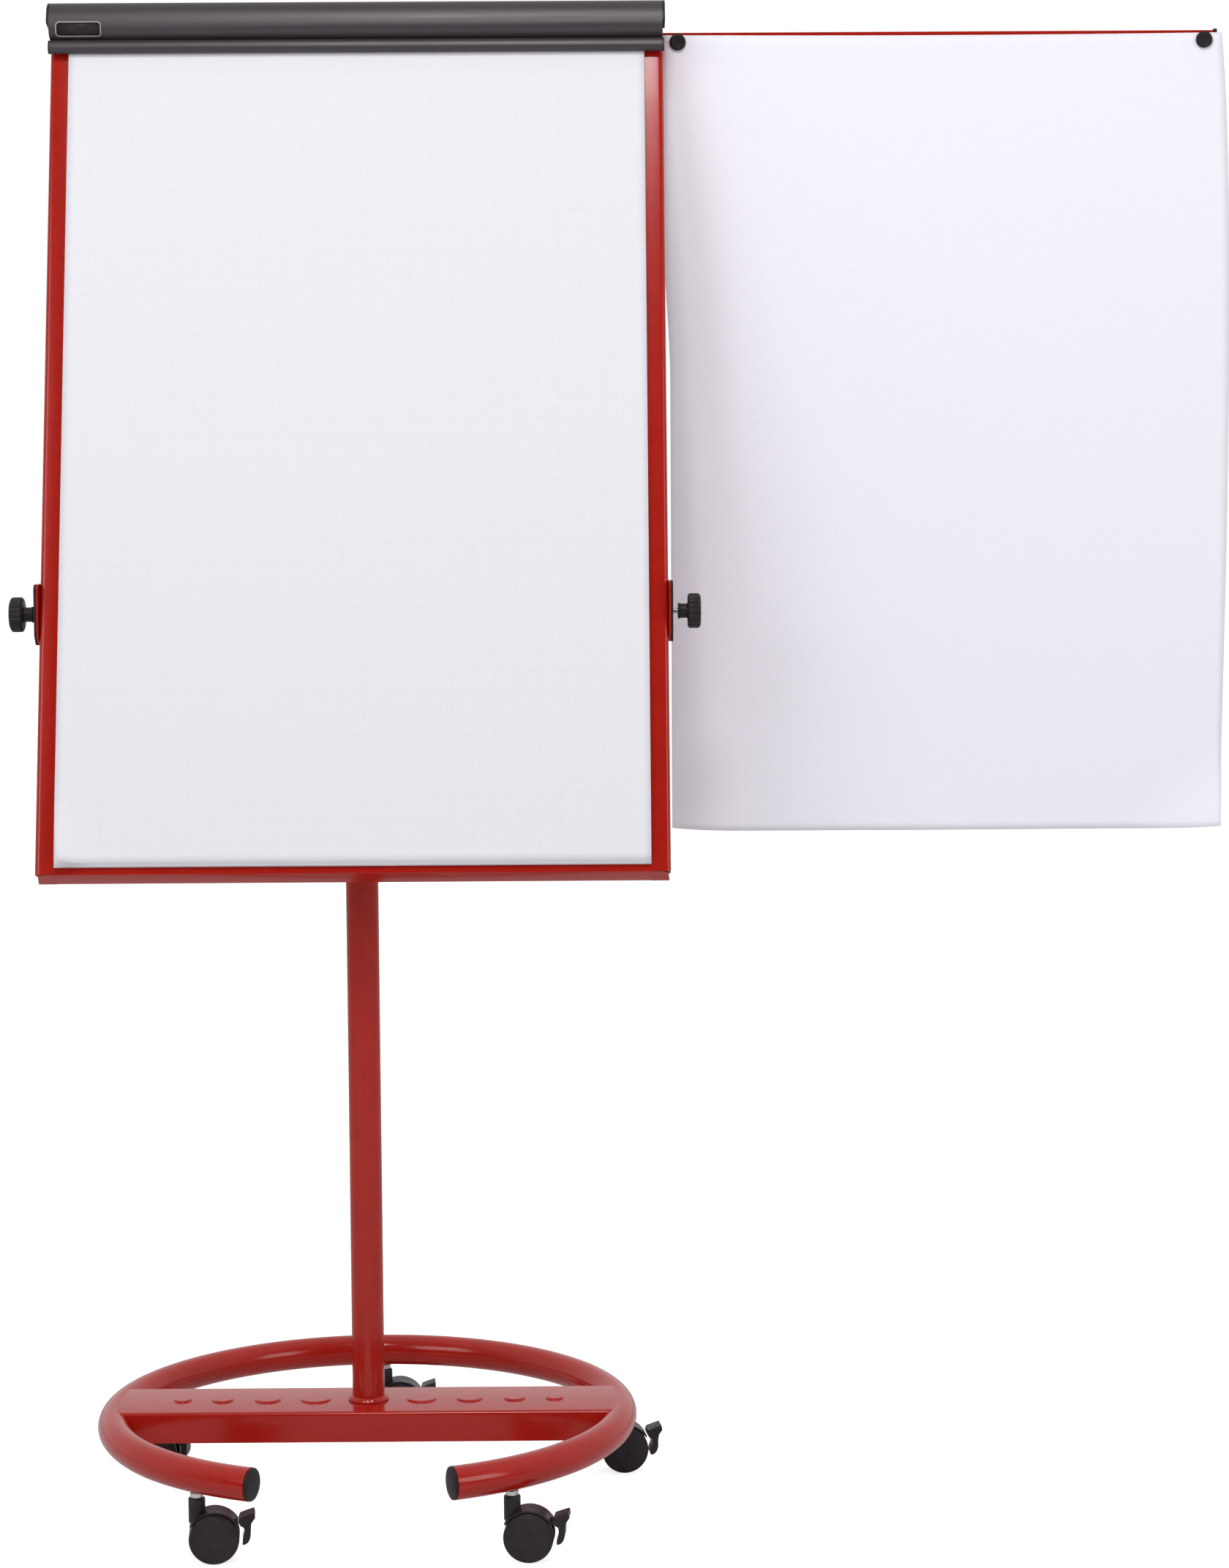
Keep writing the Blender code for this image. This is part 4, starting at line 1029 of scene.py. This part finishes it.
def stage():
    shape = bmesh.new()
    bmesh.ops.create_grid(shape, x_segments=1, y_segments=1, size=30.0)
    floor_mesh = bpy.data.meshes.new("floor")
    shape.to_mesh(floor_mesh)
    shape.free()
    floor = bpy.data.objects.new("floor", floor_mesh)
    bpy.context.scene.collection.objects.link(floor)
    paint = Nodes("floor_paint")
    paint.set(Base_Color=(0.70, 0.70, 0.70, 1.0), Roughness=0.9, Specular_IOR_Level=0.1)
    paint.set(Emission_Color=(1.0, 1.0, 1.0, 1.0))
    seen = paint.add("ShaderNodeLightPath").outputs["Is Camera Ray"]
    paint.link(paint.maths("MULTIPLY", seen, FLOOR_GLOW), paint.shader.inputs["Emission Strength"])
    floor_mesh.materials.append(paint.material)


def area_light(name, spot, aim, size, power):
    data = bpy.data.lights.new(name, "AREA")
    data.shape = "RECTANGLE"
    data.size, data.size_y = size
    data.energy = power
    lamp = bpy.data.objects.new(name, data)
    lamp.location = spot
    lamp.rotation_euler = (Vector(aim) - Vector(spot)).to_track_quat("-Z", "Y").to_euler()
    bpy.context.scene.collection.objects.link(lamp)


def lights():
    """A white cove behind and above the easel, a dim room in front, and three soft boxes."""
    world = bpy.data.worlds.new("studio")
    world.use_nodes = True
    tree = world.node_tree
    way = tree.nodes.new("ShaderNodeTexCoord")
    parts = tree.nodes.new("ShaderNodeSeparateXYZ")
    ramp = tree.nodes.new("ShaderNodeMapRange")
    ramp.interpolation_type = "SMOOTHSTEP"
    reach = (("From Min", COVE_START), ("From Max", COVE_FULL))
    strength = (("To Min", ROOM_LIGHT), ("To Max", COVE_LIGHT))
    for name, value in reach + strength:
        ramp.inputs[name].default_value = value
    tree.links.new(way.outputs["Generated"], parts.inputs[0])
    tree.links.new(parts.outputs["Y"], ramp.inputs["Value"])
    seen = tree.nodes.new("ShaderNodeLightPath").outputs["Is Camera Ray"]
    plain = tree.nodes.new("ShaderNodeMath")
    plain.operation = "MAXIMUM"
    tree.links.new(seen, plain.inputs[0])
    tree.links.new(ramp.outputs["Result"], plain.inputs[1])
    tree.links.new(plain.outputs[0], tree.nodes["Background"].inputs["Strength"])
    tree.nodes["Background"].inputs["Color"].default_value = (1.0, 1.0, 1.0, 1.0)
    bpy.context.scene.world = world
    area_light("key", (-2.8, -3.3, 2.7), (-0.1, 0.0, 1.1), (2.2, 2.0), KEY_POWER)
    area_light("fill", (3.3, -2.9, 2.3), (0.1, 0.0, 1.1), (1.6, 2.2), FILL_POWER)
    area_light("front", (-0.2, -2.7, 4.1), (-0.1, 0.0, 1.0), (1.1, 0.9), FRONT_POWER)


def camera():
    """The photograph's view: from the front, a little above the tilt axis, aimed slightly down."""
    spot = Vector((-0.0412, -3.9263, 1.2042))
    yaw, pitch, roll = radians(0.292), radians(5.074), radians(-0.342)
    ahead = Vector((sin(yaw) * cos(pitch), cos(yaw) * cos(pitch), -sin(pitch)))
    level = Vector((cos(yaw), -sin(yaw), 0.0))
    above = level.cross(ahead)
    right = level * cos(roll) + above * sin(roll)
    above = above * cos(roll) - level * sin(roll)
    data = bpy.data.cameras.new("camera")
    data.lens = LENS
    data.sensor_width = SENSOR_WIDTH
    made = bpy.data.objects.new("camera", data)
    made.matrix_world = axes_matrix(right, above, -ahead, spot)
    bpy.context.scene.collection.objects.link(made)
    bpy.context.scene.camera = made


def main():
    camera()
    ring_tube()
    channel()
    mast()
    yoke()
    board()
    clamp()
    pad()
    side_arms()
    loose_sheet()
    casters()
    stage()
    lights()
    bpy.context.scene.view_settings.view_transform = "Standard"


main()
